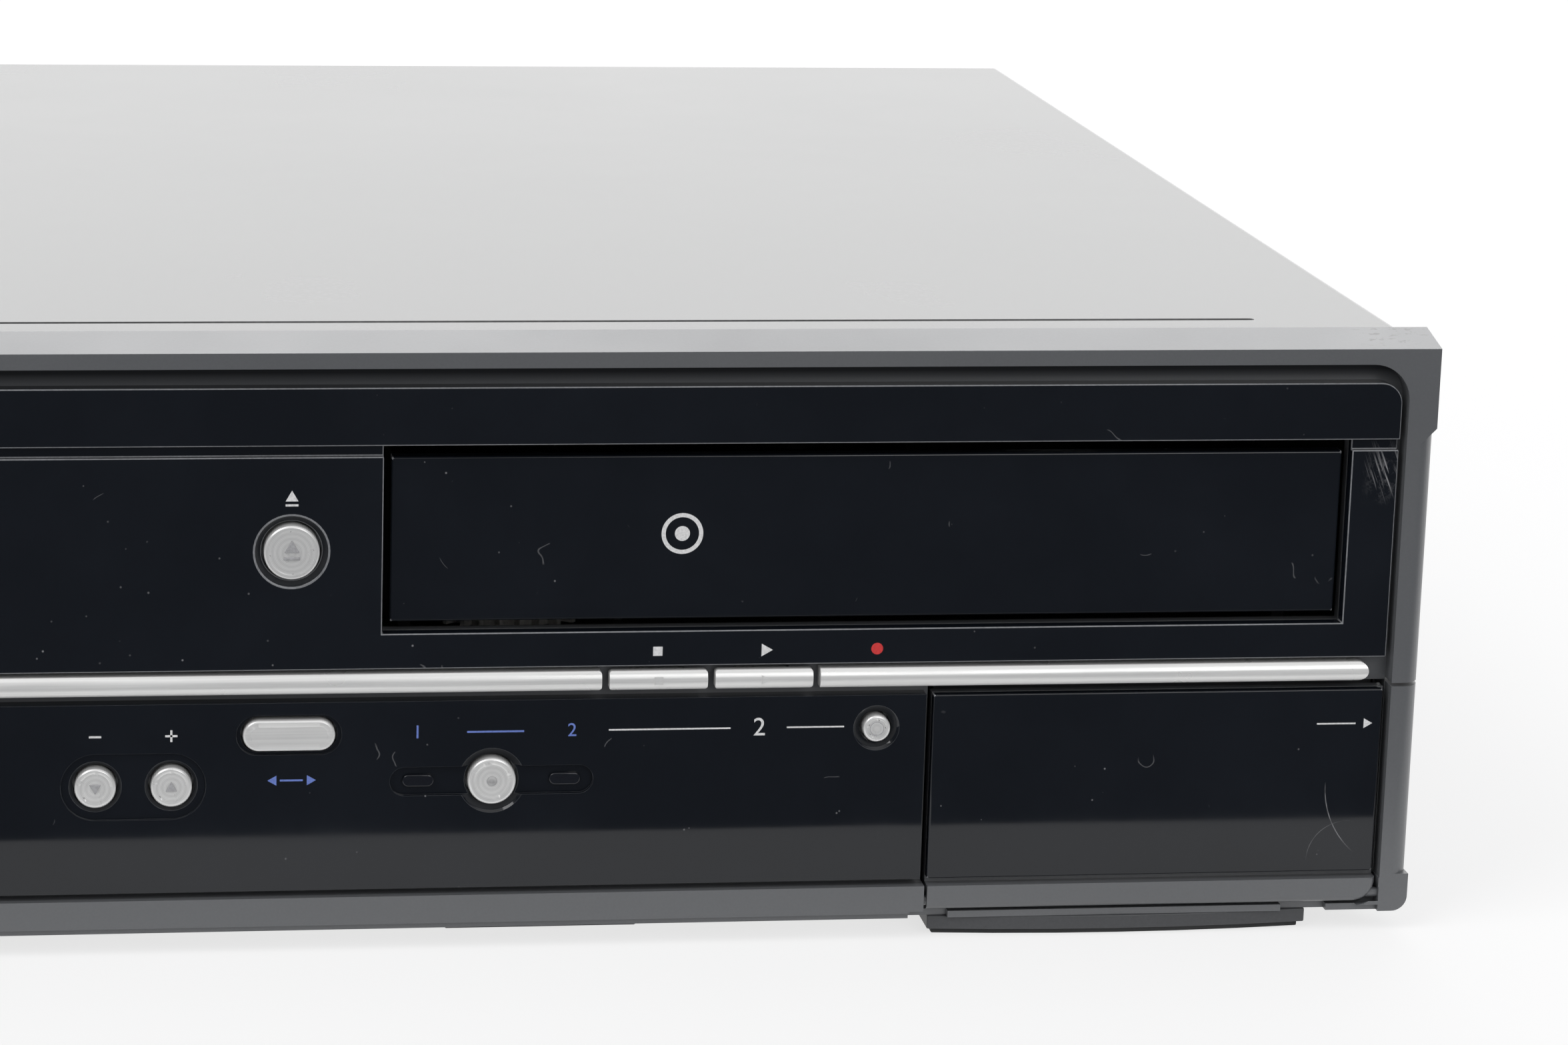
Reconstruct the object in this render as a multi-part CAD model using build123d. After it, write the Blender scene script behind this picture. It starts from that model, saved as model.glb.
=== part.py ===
from build123d import *
import math
import os

# Disc and tape combination player, in millimetres. +X is right as seen from
# the front, the front faces -Y, +Z is up. The origin is the middle of the
# footprint on the surface that the feet stand on. "depth" below is the
# distance behind the front plane of the bezel.

# ---- Overall sizes ----
WIDTH = 435.0  # across the end caps of the bezel
HEIGHT = 98.5  # floor to the top of the cover
BODY_DEPTH = 300.0  # front plane to the back edge of the cover
SOCKET_STAND = 6.0  # how far the rear sockets stand out behind the cover
FOOT_H = 3.3  # feet, and so the underside of the pan and the bezel
OVER = 1.0  # a cutting shape runs this far past what it cuts
HALF = WIDTH / 2
Y_FRONT = -(BODY_DEPTH + SOCKET_STAND) / 2

# ---- Sheet metal ----
COVER_INSET = 4.5  # the cover's sides stand in from the end caps
COVER_T = 0.8
COVER_BEND = 1.5
COVER_SIDE_GAP = 0.5  # lower edge of the cover's sides above the pan's underside
COVER_LIP = 10.0  # the cover's turned-down lip at the back
BEAD_DEPTH = 14.5  # pressed bead behind the cover's front edge
BEAD_INSET = 22.0
BEAD_W = 1.4
BEAD_DEEP = 0.4
VENT_FIRST = 110.0  # side vents: first slot in front of the cover's back edge
VENT_COUNT = 12
VENT_PITCH = 7.0
VENT_W = 2.5
VENT_H = 16.0
VENT_ROWS = (34.0, 58.0)
PAN_T = 1.0
PAN_START = 2.0  # the side flanges begin this far behind the bezel
PAN_FLANGE = 18.0
PAN_REAR_FLANGE = 8.0
PAN_SLOTS = 8
PAN_SLOT_X = -170.0
PAN_SLOT_PITCH = 10.0
PAN_SLOT_W = 4.0
PAN_SLOT_L = 30.0
PAN_SLOT_BACK = 18.4  # the slots end this far in front of the rear panel
PANEL_T = 0.8  # rear panel
REAR_VENT_X = -140.0
REAR_VENT_L = 16.0
REAR_VENT_H = 3.0
REAR_VENT_PITCH = (21.0, 6.0)
REAR_VENT_ROWS = (4, 6)
REAR_VENT_Z = 46.0
COVER_X = HALF - COVER_INSET
COVER_IN_X = COVER_X - COVER_T
COVER_IN_Z = HEIGHT - COVER_T
PAN_TOP = FOOT_H + PAN_T
PANEL_D1 = BODY_DEPTH - COVER_T
PANEL_D0 = PANEL_D1 - PANEL_T

# ---- Cover screws ----
SCREW_R = 1.5
SCREW_L = 6.0
SCREW_FIT = 0.1
SCREW_REACH = 5.0  # half length of the holes bored for the side screws
HEAD_R = 3.2
HEAD_T = 1.8
CROSS_L = 2.0  # half length and half width of the cross in a screw's head
CROSS_W = 0.4
CROSS_DEEP = 0.8
SIDE_SCREW_END = 60.0  # side screws from the front plane and from the back edge
SIDE_SCREW_Z = 14.0
REAR_SCREW_XS = (-150.0, 0.0, 150.0)

# ---- Feet ----
FOOT_END = 47.5  # middle of a front foot from the end cap's outer face
FOOT_W, FOOT_L = 62.4, 34.0
FOOT_D0 = 0.6
FOOT_BOW = 1.5  # the foot's front is this much further forward at its middle
PAD_T = 1.0
PAD_INSET = 0.9
REAR_FOOT_SIDE, REAR_FOOT_END, REAR_FOOT_R = 37.5, 32.0, 10.0  # middle from the sides and the back edge
REAR_FOOT_CHAMFER = 0.8
FOOT_X = HALF - FOOT_END
REAR_FOOT_X = HALF - REAR_FOOT_SIDE

# ---- Bezel ----
BEZEL_DEPTH = 8.0
TOP_SLOPE = 1.9  # the top strip falls this much to the front edge
LIP_DROP = 4.4  # underside of the top lip below the cover's top
CAP_W = 4.8  # an end cap, across
CAP_FOOT_R = 2.5
WEB_D0 = 3.4  # web behind the fascias
WEB_T = 2.0
SPLIT_Z = 41.5  # upper and lower bezel meet here
SPLIT_GAP = 0.6
GROOVE_R = 6.0
RIDGE_R = 2.9  # vertical rounding of an end cap
RIDGE_DROP = 14.8  # the rounding stops this far below the cover's top
RIDGE_START = 0.6  # the rounding starts this far above the lower lip
FACET_IN, FACET_OUT = 1.0, 2.0  # the sloped end of the rounding runs past the corner
FACET_LOW, FACET_HIGH = 4.0, 2.0
RAIL_TOP = 4.4
RAIL_SET_BACK = 1.0
LIP_TOP = 9.0
LIP_BOTTOM = 4.9
TONGUE_REACH = 5.0  # tongue that holds the cover's front edge
TONGUE_INSET = 2.0
TONGUE_T = 1.5
SHELF_H = 2.0
POST_R = 2.2
OPEN_POST = (9.0, 8.0)  # posts for the open button's board, from the button
LIP_UNDER = HEIGHT - LIP_DROP
CAP_INNER = HALF - CAP_W
WEB_D1 = WEB_D0 + WEB_T
RIDGE_TOP = HEIGHT - RIDGE_DROP

# ---- Fascias ----
FASCIA_GAP = 0.9  # between a fascia's end and the end cap
STRIP_D = 0.6  # front of the upper strip
MAIN_D = 1.0  # front of the main panel
LOWER_D = 0.8  # front of the lower fascia
STRIP_DROP = 3.1  # top of the upper strip below the lip
STRIP_H = 9.2
STEP_H = 1.8  # step groove between the strip and the main panel
STEP_D = 1.9
UPPER_BOTTOM = 45.9
FASCIA_R = 3.5
LOWER_TOP = 40.7
LOWER_BOTTOM = 10.0
FASCIA_HALF = CAP_INNER - FASCIA_GAP
STRIP_TOP = LIP_UNDER - STRIP_DROP
STRIP_BOTTOM = STRIP_TOP - STRIP_H
STEP_TOP = STRIP_BOTTOM - STEP_H

# ---- Doors ----
DOOR_D = 2.4  # front of the tray front and of the cassette door
DOOR_T = 2.6
DOOR_BOTTOM = 53.2
DOOR_DROP = 0.4  # top of the doors below the step groove
DOOR_GAP = 1.25
DOOR_SILL = 1.6  # the openings reach this far below the doors
DOOR_EDGE_R = 0.4
TRAY_DOOR_END = 8.8  # a door's outer end from the fascia's end
TAPE_DOOR_END = 8.7
TRAY_DOOR_W = 151.4
TAPE_DOOR_W = 192.4
DOOR_AXIS_D = 6.6
DOOR_AXIS_RISE = 4.4
ARM_IN = 5.0  # a door arm's outer face inside the door's end
ARM_T = 3.0
ARM_R = 2.4
ARM_FOOT = 11.0  # the arm leaves the door this far below the axis
ARM_HEEL = 4.0
ARM_TOE = 0.4
ARM_BITE = 0.6  # the arm sinks this far into the door
ARM_ROOM = 0.8
ARM_ROOM_D0 = 0.5
EAR_GAP = 1.0
EAR_HALF = 3.0
PIN_R = 1.5
PIN_FIT = 0.05
PIN_L = 3.0
TRAY_X1 = FASCIA_HALF - TRAY_DOOR_END
TRAY_X0 = TRAY_X1 - TRAY_DOOR_W
TAPE_X0 = TAPE_DOOR_END - FASCIA_HALF
TAPE_X1 = TAPE_X0 + TAPE_DOOR_W
DOOR_TOP = STEP_TOP - DOOR_DROP
DOOR_AXIS_Z = DOOR_TOP + DOOR_AXIS_RISE
DOOR_BACK = DOOR_D + DOOR_T
OPENING_BOTTOM = DOOR_BOTTOM - DOOR_SILL

# ---- Jack flap ----
FLAP_END = 0.6  # between the flap and the right end cap
FLAP_W = 73.9
FLAP_GAP = 1.2  # between the flap and the lower fascia
FLAP_ROOM = 0.5
FLAP_PANEL_T = 1.6
FLAP_PANEL_INSET = 0.5
FLAP_PANEL_R = 0.3
FLAP_T = 2.0
FLAP_TOP = 40.6
FLAP_AXIS_D = 1.3
FLAP_AXIS_Z = 6.2
FLAP_EDGE_R = 1.1
FLAP_PIN_R = 0.8
FLAP_PIN_L = 3.0
FLAP_PIN_BITE = 1.0
FLAP_PIN_OUT = 2.2
FLAP_BORE_L = 3.5
FLAP_BORE_R = 1.75  # room for the pin beyond the flap's rounded corner
FLAP_CORNER = 3.5
TUB_INSETS = (0.8, 1.1)
TUB_D1 = 27.5
TUB_TOP = 41.3
TUB_WALL = 1.5
TUB_FLOOR = 9.5
TUB_RIM = 2.0
FLAP_X1 = CAP_INNER - FLAP_END
FLAP_X0 = FLAP_X1 - FLAP_W
LOWER_RIGHT = FLAP_X0 - FLAP_GAP
TUB_X0 = FLAP_X0 + TUB_INSETS[0]
TUB_X1 = FLAP_X1 - TUB_INSETS[1]

# ---- Silver trim ----
BAR_Z = 43.65
BAR_H = 3.1
BAR_D0 = 0.2
BAR_CROWN = 0.7
BAR_CORNER = 0.5
BAR_TO_END = 2.9  # the bar's rounded end from the fascia's end
BAR_LENGTH = 89.1
KEY_W = 15.6
KEY_GAP = 1.2
KEY_FRONT_T = 2.0
KEY_STEM = (4.0, 1.0)  # half width and half height
BAR_END = FASCIA_HALF - BAR_TO_END
BAR_JOIN = BAR_END - BAR_LENGTH
PLAY_X1 = BAR_JOIN - KEY_GAP
PLAY_X0 = PLAY_X1 - KEY_W
STOP_X1 = PLAY_X0 - KEY_GAP
STOP_X0 = STOP_X1 - KEY_W
BAR_MID = STOP_X0 - KEY_GAP

# ---- Buttons: (x, z, radius) ----
OPEN_BUTTON = (TRAY_X0 - 15.4, 65.0, 4.32)
POWER_BUTTON = (21.8 - FASCIA_HALF, 27.4, 4.32)
TAPE_EJECT_BUTTON = (40.8 - FASCIA_HALF, 27.4, 3.22)
UP_BUTTON = (17.7, 27.4, 3.22)
DOWN_BUTTON = (5.9, 27.4, 3.22)
SELECT_BUTTON = (67.9, 27.6, 3.8)
DISC_RECORD_BUTTON = (LOWER_RIGHT - 7.9, 35.3, 2.2)
TAPE_RECORD_BUTTON = (-55.0, 35.3, 2.2)
DUB_X, DUB_Z, DUB_W, DUB_H = 36.0, 35.5, 14.4, 5.0
BUTTON_GAP = 0.4
BUTTON_D0 = 0.2
BUTTON_EDGE_R = 0.5
BUTTON_TRAVEL = 0.8
BUTTON_HOLE_D0 = 1.0
FLANGE_EXTRA = 1.0
FLANGE_T = 1.0
FLANGE_GAP = 0.2
DUB_FLANGE = 2.0
STEM_R = 1.6
STEM_END = 7.5
DISH_EXTRA = 1.5  # ring recess round a button
DISH_DEEP = 0.9
GROOVE_W, GROOVE_H, GROOVE_DEEP = 32.2, 4.7, 0.8  # capsule recess of the select lamps
PAIR_H, PAIR_DEEP = 10.8, 0.5  # capsule recess of the channel buttons
DUB_RECESS = (2.1, 1.5, 0.6)
WINDOW = (53.8 - FASCIA_HALF, 145.8 - FASCIA_HALF, 15.5, 37.0)
WINDOW_D0 = 1.2
WINDOW_FIT = 0.15
WINDOW_SEAT = (6.0, 2.0)

# ---- Front control board ----
BOARD_D = 12.0
BOARD_T = 1.6
BOARD_END, BOARD_FLAP_END = 5.8, 5.0  # board's ends from the fascia's left end and the lower fascia's right
BOARD_Z = 8.0
BOARD_RISE = 6.0
OPEN_BOARD = (12.0, 11.0)  # half size of the open button's own board
SWITCH = 6.0
SWITCH_T = 2.8
PLUNGER_R = 1.5
PLUNGER_GAP = 0.1
MODULE_INSET = (8.0, 1.0)
MODULE_D = (6.0, 10.0)
MODULE_STEP = (4.0, 3.0)
CONTROL_X0 = BOARD_END - FASCIA_HALF
CONTROL_X1 = LOWER_RIGHT - BOARD_FLAP_END
CONTROL_POSTS = (
    (CONTROL_X0 + 4.0, 12.0), (-40.0, 12.0), (CONTROL_X1 - 12.0, 12.0),
    (CONTROL_X0 + 4.0, 38.0), (-20.0, 38.0), (95.0, 38.0),
)

# ---- Disc drive ----
DISC_X = (TRAY_X0 + TRAY_X1) / 2
DISC_D = 82.0  # middle of the disc behind the front plane
DISC_WELL_R = 60.8
SMALL_WELL_R = 40.8
TRAY_W = 139.0
TRAY_Z0, TRAY_Z1 = 56.2, 66.2
WELL_FLOOR = 61.4
SMALL_WELL_FLOOR = 60.2
TRAY_END = 186.0
SLOT_R = 23.0
LOADER_D0, LOADER_D1 = 20.0, 206.0
LOADER_Z0, LOADER_Z1 = 42.0, 72.0
LOADER_WALL = 2.0
LOADER_SIDE_GAP = 1.5
LOADER_FLOOR = 1.5
LOADER_MOUTH = 5.0
LOADER_SILL = 1.0
LOADER_POST_R = 4.0
LOADER_POST_IN = 3.0
LOADER_POST_ENDS = (14.0, 8.0)
POST_CLEAR = 0.6
LEDGE = 4.0
LEDGE_T = 2.0
HOOK_L = 30.0
HOOK_T = 1.5
SLIDE_GAP = 0.2
BRIDGE_W = 44.0
BRIDGE_T = 1.5
CLAMP_R = 15.0
CLAMP_T = 2.0
CLAMP_GAP = 0.3
CLAMP_HUB_R = 11.5
CLAMP_HUB_Z = TRAY_Z1 + 0.6
CLAMP_HOLE_R = 12.5
TRAVERSE_D0, TRAVERSE_D1 = 62.0, 178.0
TRAVERSE_W = 112.0
TRAVERSE_Z = 46.0
TRAVERSE_T = 2.0
TRAVERSE_RIM = (2.0, 3.0)
TRAVERSE_AXIS_D = 174.0
TRAVERSE_PIN = (1.0, 5.5)
TRAVERSE_SLOT = (20.0, 17.0, 14.0)  # half width, start behind the disc's middle, end before the back
EAR_W, EAR_L, EAR_IN = 4.0, 4.0, 0.5
TRAVERSE_ROOM = (2.0, 4.0, 3.0)  # window in the loader's floor: sides, front and back
AXIS_RISE = 1.0  # the traverse's hinge above its underside
RAIL_X = 24.0
RAIL_R = 1.5
RAIL_Z = 52.5
RAIL_BLOCK = (3.0, 4.0, 2.4)  # half width, length and height above the rail
RAIL_SPARE = (5.0, 1.0)  # rail beyond the pickup's travel at each end, less the block
PICKUP_HALF = 29.0
PICKUP_L = 24.0
PICKUP_START = 21.0
PICKUP_TRAVEL = 36.0
PICKUP_LIFT = 1.0
PICKUP_DROP = 0.7
LENS_BLOCK = (12.0, 2.0, 18.0, 2.5)  # half width, start, end and height
LENS_SINK = 1.0
LENS_R = 3.0
LENS_D = 8.0
LENS_H = 4.5
TURNTABLE_R = 14.0
TURNTABLE_LIFT = 0.6
TURNTABLE_T = 1.2
TURNTABLE_GAP = 1.0
HUB_R = 7.3
HUB_DROP = 0.4
HUB_NECK_R = 6.0
HUB_CAP_T = 1.0
MOTOR_R = 13.0
MOTOR_H = 8.0
SHAFT_R = 1.0
SHAFT_DROP = 2.0
GEAR_M = 1.0
TOOTH_W = math.pi * GEAR_M / 2
TOOTH_H = 1.85 * GEAR_M
TOOTH_ROOT = 1.05 * GEAR_M
RACK_Z0 = 52.6
RACK_BACK = 2.5
RACK_ENDS = (5.0, 2.0)
RACK_SPARE = 4.0
TOOTH_SINK = 0.3
TOOTH_WIDE, TOOTH_NARROW = 0.62, 0.24  # half widths at the root and the tip, in tooth widths
GEAR_D = 38.0
WHEEL_TEETH, PINION_TEETH, MOTOR_TEETH = 30, 12, 8
RACK_X = -60.5  # pitch line of the rack, from the middle of the tray
MESH_GAP = 0.15
GEAR_BORE = 2.0
WHEEL_Z = (46.0, 50.0)
AXLE_TOP = 55.6
AXLE_SHOW = 0.2
AXLE_SEAT = (1.5, 0.1)
LOADING_MOTOR_R = 11.0
LOADING_MOTOR_H = 15.0

# ---- Tape deck ----
TAPE_X = (TAPE_X0 + TAPE_X1) / 2
CASSETTE_W = 187.0
CASSETTE_H = 25.0
SLOT_CLEAR = 0.8
SLOT_HEADROOM = 1.4
DECK_Z = 30.0
DECK_T = 1.6
DECK_D0, DECK_D1 = 26.0, 230.0
DECK_POST_X = 88.0
DECK_POST_END = 7.0
DECK_POST_R = 4.0
DECK_SIDE_X = 97.2
DECK_SIDE_T = 1.2
DECK_SIDE_TOP = 86.0
HOLDER_D0, HOLDER_D1 = 38.0, 118.0
HOLDER_T = 0.8
HOLDER_LIP = 12.0
HOLDER_ROOF = 6.0
HOLDER_LIFT = 0.6
HOLDER_PIN_GAP = 0.5
HOLDER_PIN_Z = 72.0
CARRIAGE_IN = 30.0
HOLDER_DOWN = 18.5
SLIDER_T = 1.0
SLIDER_GAP = 0.4
SLIDER_D0, SLIDER_D1 = 50.0, 100.0
SLIDER_PIN_Z = 82.6
SLIDER_PIN_END = 6.0
SLIDER_RISE = 2.2
SLIDER_DROP = 4.0
DECK_SIDE_END = 8.0  # the side plates reach past the holder's way in
PIN_ROOM = 0.3
DRUM_R = 31.0
DRUM_D = 186.0
DRUM_TILT = 5.0
DRUM_SPLIT = 46.0
DRUM_TOP = 62.0
DRUM_GAP = 0.3
DRUM_SHAFT_R = 3.0
DRUM_MOTOR_R, DRUM_MOTOR_H = 26.0, 12.0
DRUM_DISH = (8.0, 3.0)
DRUM_HOLE_R = 26.5
DRUM_FOOT = (3.0, 6.0)  # width and height of the step round the lower drum
DRUM_LIFT = 3.0
DRUM_BORE_Z = 4.0
DRUM_SHAFT_Z = 5.0
REEL_SPACING = 92.0
REEL_D = 108.0
REEL_R = 20.0
REEL_T = 2.5
REEL_HUB_R, REEL_HUB_H = 9.0, 14.0
REEL_AXLE_R, REEL_AXLE_H = 2.0, 10.0
REEL_GAP = 0.4
REEL_FINS = 3
REEL_FIN = (2.0, 9.0, 9.4)  # across, high, and out from the axis
GUIDE_POSTS = ((44.0, 160.0), (40.0, 206.0))
GUIDE_R, GUIDE_H = 3.0, 28.0
CAPSTAN_DX, CAPSTAN_D = 58.0, 172.0
CAPSTAN_R = 1.5
CAPSTAN_POST_R, CAPSTAN_POST_H, CAPSTAN_POST_DROP = 5.0, 7.0, 3.0
CAPSTAN_Z0 = 16.0
FLYWHEEL_R = 24.0
FLYWHEEL_DROP = (10.0, 4.0)
PINCH_DX, PINCH_D = 75.0, 196.0
PINCH_ARM = 30.0
PINCH_ARM_W = 8.0
PINCH_ARM_Z, PINCH_ARM_T = 8.0, 3.0
PINCH_POST_R, PINCH_POST_H = 2.0, 18.0
PINCH_HUB_R, PINCH_HUB_H = 4.0, 5.0
ROLLER_R = 7.0
ROLLER_H = 14.0  # top of the roller above the arm
ROLLER_GAP = 0.4
ROLLER_TOUCH = 0.2  # left between the roller and the capstan for the tape
ROLLER_PIN_R, ROLLER_PIN_H = 1.0, 15.0
PINCH_SWING = 28.0
DECK_TOP = DECK_Z + DECK_T
ARM_Z = (DECK_TOP + PINCH_ARM_Z, DECK_TOP + PINCH_ARM_Z + PINCH_ARM_T)

# ---- Boards and rear sockets ----
PCB_Z = 12.0
PCB_T = 1.6
PCB_TOP = PCB_Z + PCB_T
PCB_POST_R = 3.0
MAIN_X0, MAIN_SIDE = 8.0, 8.2  # left edge, and right edge from the cover's side
MAIN_D0, MAIN_GAP = 62.0, 4.4  # front edge, and back edge from the rear panel
MAIN_POST_XS = (24.0, 120.0)
MAIN_POST_IN = 8.0
TUNER_POST_IN = 68.0  # the left back post stands in front of the tuner can
MAIN_PARTS = (  # packages on the board: X span, depth span and height
    (90.0, 120.0, 100.0, 130.0, 3.0),
    (50.0, 66.0, 150.0, 166.0, 2.0),
    (140.0, 160.0, 120.0, 134.0, 6.0),
    (70.0, 76.0, 190.0, 215.0, 18.0),
)
CAPS, CAP_X, CAP_D, CAP_PITCH, CAP_R, CAP_H = 5, 20.0, 90.0, 22.0, 5.0, 12.0  # row of capacitors
POWER_SIDE, POWER_X1 = 12.2, -14.0  # left edge from the cover's side, and right edge
POWER_L, POWER_GAP = 52.0, 6.4
POWER_POST_IN = 6.0
POWER_POST_X = -22.0
POWER_PARTS = (  # transformer and heat sink: X span, depth from the front edge and height
    (-120.0, -84.0, 8.0, 42.0, 30.0),
    (-64.0, -60.0, 6.0, 46.0, 34.0),
)
POWER_CAP_XS, POWER_CAP_D, POWER_CAP_R, POWER_CAP_H = (-150.0, -136.0), 22.0, 6.0, 26.0
MAIN_X1 = COVER_IN_X - MAIN_SIDE
MAIN_D1 = PANEL_D0 - MAIN_GAP
POWER_X0 = POWER_SIDE - COVER_IN_X
POWER_D1 = PANEL_D0 - POWER_GAP
POWER_D0 = POWER_D1 - POWER_L
PHONO_R = 4.15
PHONO_FIT = 0.1
PHONO_HOLE_R, PHONO_HOLE_L = 1.6, 7.0
PHONO_RIM = 0.5
PHONO_XS = (60.0, 76.0, 92.0)
PHONO_ZS = (24.0, 42.0)
PHONO_BLOCK = (6.0, 16.0, 7.0)  # half width, length and rise above the upper row
PHONO_TAIL = 4.0
FRONT_PHONO_XS = (FLAP_X0 + 14.8, FLAP_X0 + 30.8, FLAP_X0 + 46.8)
FRONT_PHONO_Z = 24.0
FRONT_PHONO_L = 8.0
FRONT_BLOCK = (6.0, 4.0, 6.0)  # past the outer sockets at the left and right, and its length
FRONT_BLOCK_Z = (16.0, 32.0)
SCART = (COVER_IN_X - 66.2, COVER_IN_X - 18.2)
SCART_ZS = (24.0, 46.0)
SCART_DEEP = 26.4
SCART_RISE = 8.0
SCART_NOSE = 7.6  # half height of the part that stands out
SCART_STAND = 2.0
SCART_CORNER, SCART_BLOCK_CORNER = 1.5, 1.0
SCART_RING = (1.6, 5.6)  # the mouth: in from the nose's ends, and half height
SCART_BLOCK = (3.2, 3.8)  # the block in the mouth, in the same way
SCART_MOUTH_L = 8.0
SCART_PINS, SCART_PIN_X, SCART_PIN_PITCH = 10, 7.0, 3.8
SCART_PIN_ROW, SCART_PIN = 1.9, (0.5, 1.2)
TUNER_X0, TUNER_X1, TUNER_TOP = 12.0, 44.0, 62.0
TUNER_L = 62.4
AERIAL_ZS = (28.0, 48.0)
AERIAL_R, AERIAL_BORE, AERIAL_PIN_R, AERIAL_HOLE_R = 4.75, 4.0, 1.2, 5.2
HDMI_X, HDMI_Z = 128.0, 17.2
HDMI_W, HDMI_H, HDMI_L = 15.2, 6.4, 14.4
HDMI_WALL = (0.6, 0.9)
HDMI_FLOOR = 5.0
HDMI_TONGUE = (5.5, 0.6, 4.0, 1.5)  # half width, half height, root and set-back
INLET_X, INLET_Z = 32.2 - COVER_IN_X, 27.0
INLET_W, INLET_L, INLET_RISE, INLET_STAND = 20.0, 24.4, 7.0, 1.2
INLET_MOUTH = (15.4, 8.6, 12.0)
INLET_PIN_X, INLET_PIN_R = 4.3, 1.2
CUT_GAP = 0.4
REAR_STAND = PANEL_D1 + SOCKET_STAND + COVER_T


def slab(x0, x1, d0, d1, z0, z1):
    """Box between two X, two depths and two heights."""
    size = Box(x1 - x0, d1 - d0, z1 - z0)
    return Pos((x0 + x1) / 2, Y_FRONT + (d0 + d1) / 2, (z0 + z1) / 2) * size


def rod_y(x, z, radius, d0, d1):
    """Round bar along the depth."""
    return Pos(x, Y_FRONT + (d0 + d1) / 2, z) * Rot(90, 0, 0) * Cylinder(radius, d1 - d0)


def rod_x(depth, z, radius, x0, x1):
    """Round bar across the width."""
    return Pos((x0 + x1) / 2, Y_FRONT + depth, z) * Rot(0, 90, 0) * Cylinder(radius, x1 - x0)


def rod_z(x, depth, radius, z0, z1):
    """Upright round bar."""
    return Pos(x, Y_FRONT + depth, (z0 + z1) / 2) * Cylinder(radius, z1 - z0)


def panel(outline, d0, d1):
    """Extrudes an outline drawn in X and Z from one depth to another."""
    plane = Plane(origin=(0, Y_FRONT + d1, 0), x_dir=(1, 0, 0), z_dir=(0, -1, 0))
    return extrude(plane * outline, d1 - d0, dir=(0, -1, 0))


def side_profile(points, x0, x1):
    """Extrudes an outline of (depth, height) points from one X to another."""
    plane = Plane(origin=(x0, Y_FRONT, 0), x_dir=(0, 1, 0), z_dir=(1, 0, 0))
    return extrude(plane * Polygon(*points, align=None), x1 - x0, dir=(1, 0, 0))


def plan(outline, z0, z1):
    """Extrudes an outline drawn in X and depth from one height to another."""
    return extrude(Pos(0, Y_FRONT, z0) * outline, z1 - z0, dir=(0, 0, 1))


def rect(x0, x1, z0, z1, radius=0.0):
    """Rectangle between two X and two heights, with rounded corners."""
    place = Pos((x0 + x1) / 2, (z0 + z1) / 2)
    if radius:
        return place * RectangleRounded(x1 - x0, z1 - z0, radius)
    return place * Rectangle(x1 - x0, z1 - z0)


def around(x, z, half_width, half_height, radius=0.0):
    """Rectangle round a middle point."""
    return rect(x - half_width, x + half_width, z - half_height, z + half_height, radius)


def capsule(x, z, width, height):
    """Rectangle with half-round ends."""
    return Pos(x, z) * SlotOverall(width, height)


def both_sides(shape):
    """The shape and its mirror image across the middle plane."""
    return [shape, mirror(shape, Plane.YZ)]


def joined(shapes):
    """All shapes as one solid or group of solids."""
    first, *others = shapes
    for other in others:
        first = first + other
    return first


def save(name, shape):
    """Writes one piece to its own file."""
    shape.label = name
    export_step(shape, f"parts/{name}.step")


# ---- Places that several pieces share ----

def tape_opening():
    return rect(TAPE_X0 - DOOR_GAP, TAPE_X1 + DOOR_GAP, OPENING_BOTTOM, STRIP_BOTTOM)


def tray_opening():
    return rect(TRAY_X0 - DOOR_GAP, TRAY_X1 + DOOR_GAP, OPENING_BOTTOM, STRIP_BOTTOM)


def bar_heights():
    """Lower and upper edge of the silver bar."""
    return BAR_Z - BAR_H / 2, BAR_Z + BAR_H / 2


def key_spans():
    """Stop and play keys in the silver bar: name and X span, tape side first."""
    return {
        "tape_play_button": (-PLAY_X1, -PLAY_X0),
        "tape_stop_button": (-STOP_X1, -STOP_X0),
        "disc_stop_button": (STOP_X0, STOP_X1),
        "disc_play_button": (PLAY_X0, PLAY_X1),
    }


def round_buttons():
    """Round buttons: name, place and radius."""
    return {
        "power_button": POWER_BUTTON,
        "tape_eject_button": TAPE_EJECT_BUTTON,
        "disc_open_button": OPEN_BUTTON,
        "channel_up_button": UP_BUTTON,
        "channel_down_button": DOWN_BUTTON,
        "select_button": SELECT_BUTTON,
        "disc_record_button": DISC_RECORD_BUTTON,
        "tape_record_button": TAPE_RECORD_BUTTON,
    }


def switch_places():
    """Every place on the control board that a button presses."""
    places = [(x, z) for x, z, _ in round_buttons().values()]
    places += [((x0 + x1) / 2, BAR_Z) for x0, x1 in key_spans().values()]
    return places + [(DUB_X, DUB_Z)]


def loader_posts():
    """Middles of the disc loader's legs."""
    reach = TRAY_W / 2 - LOADER_POST_IN
    near, far = LOADER_POST_ENDS
    return [(DISC_X + side * reach, d) for side in (-1, 1) for d in (LOADER_D0 + near, LOADER_D1 - far)]


def deck_posts():
    """Middles of the tape deck's legs."""
    depths = (DECK_D0 + DECK_POST_END, DECK_D1 - DECK_POST_END)
    return [(TAPE_X + side * DECK_POST_X, d) for side in (-1, 1) for d in depths]


def board_posts():
    """Middles of the pan's posts under the two boards."""
    left, right = MAIN_POST_XS
    main = [(x, MAIN_D0 + MAIN_POST_IN) for x in MAIN_POST_XS]
    main += [(left, MAIN_D1 - TUNER_POST_IN), (right, MAIN_D1 - MAIN_POST_IN)]
    power = [(x, POWER_D0 + POWER_POST_IN) for x in (POWER_X0 + POWER_POST_IN, POWER_POST_X)]
    return main + power + [(POWER_POST_X, POWER_D1 - POWER_POST_IN)]


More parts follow.
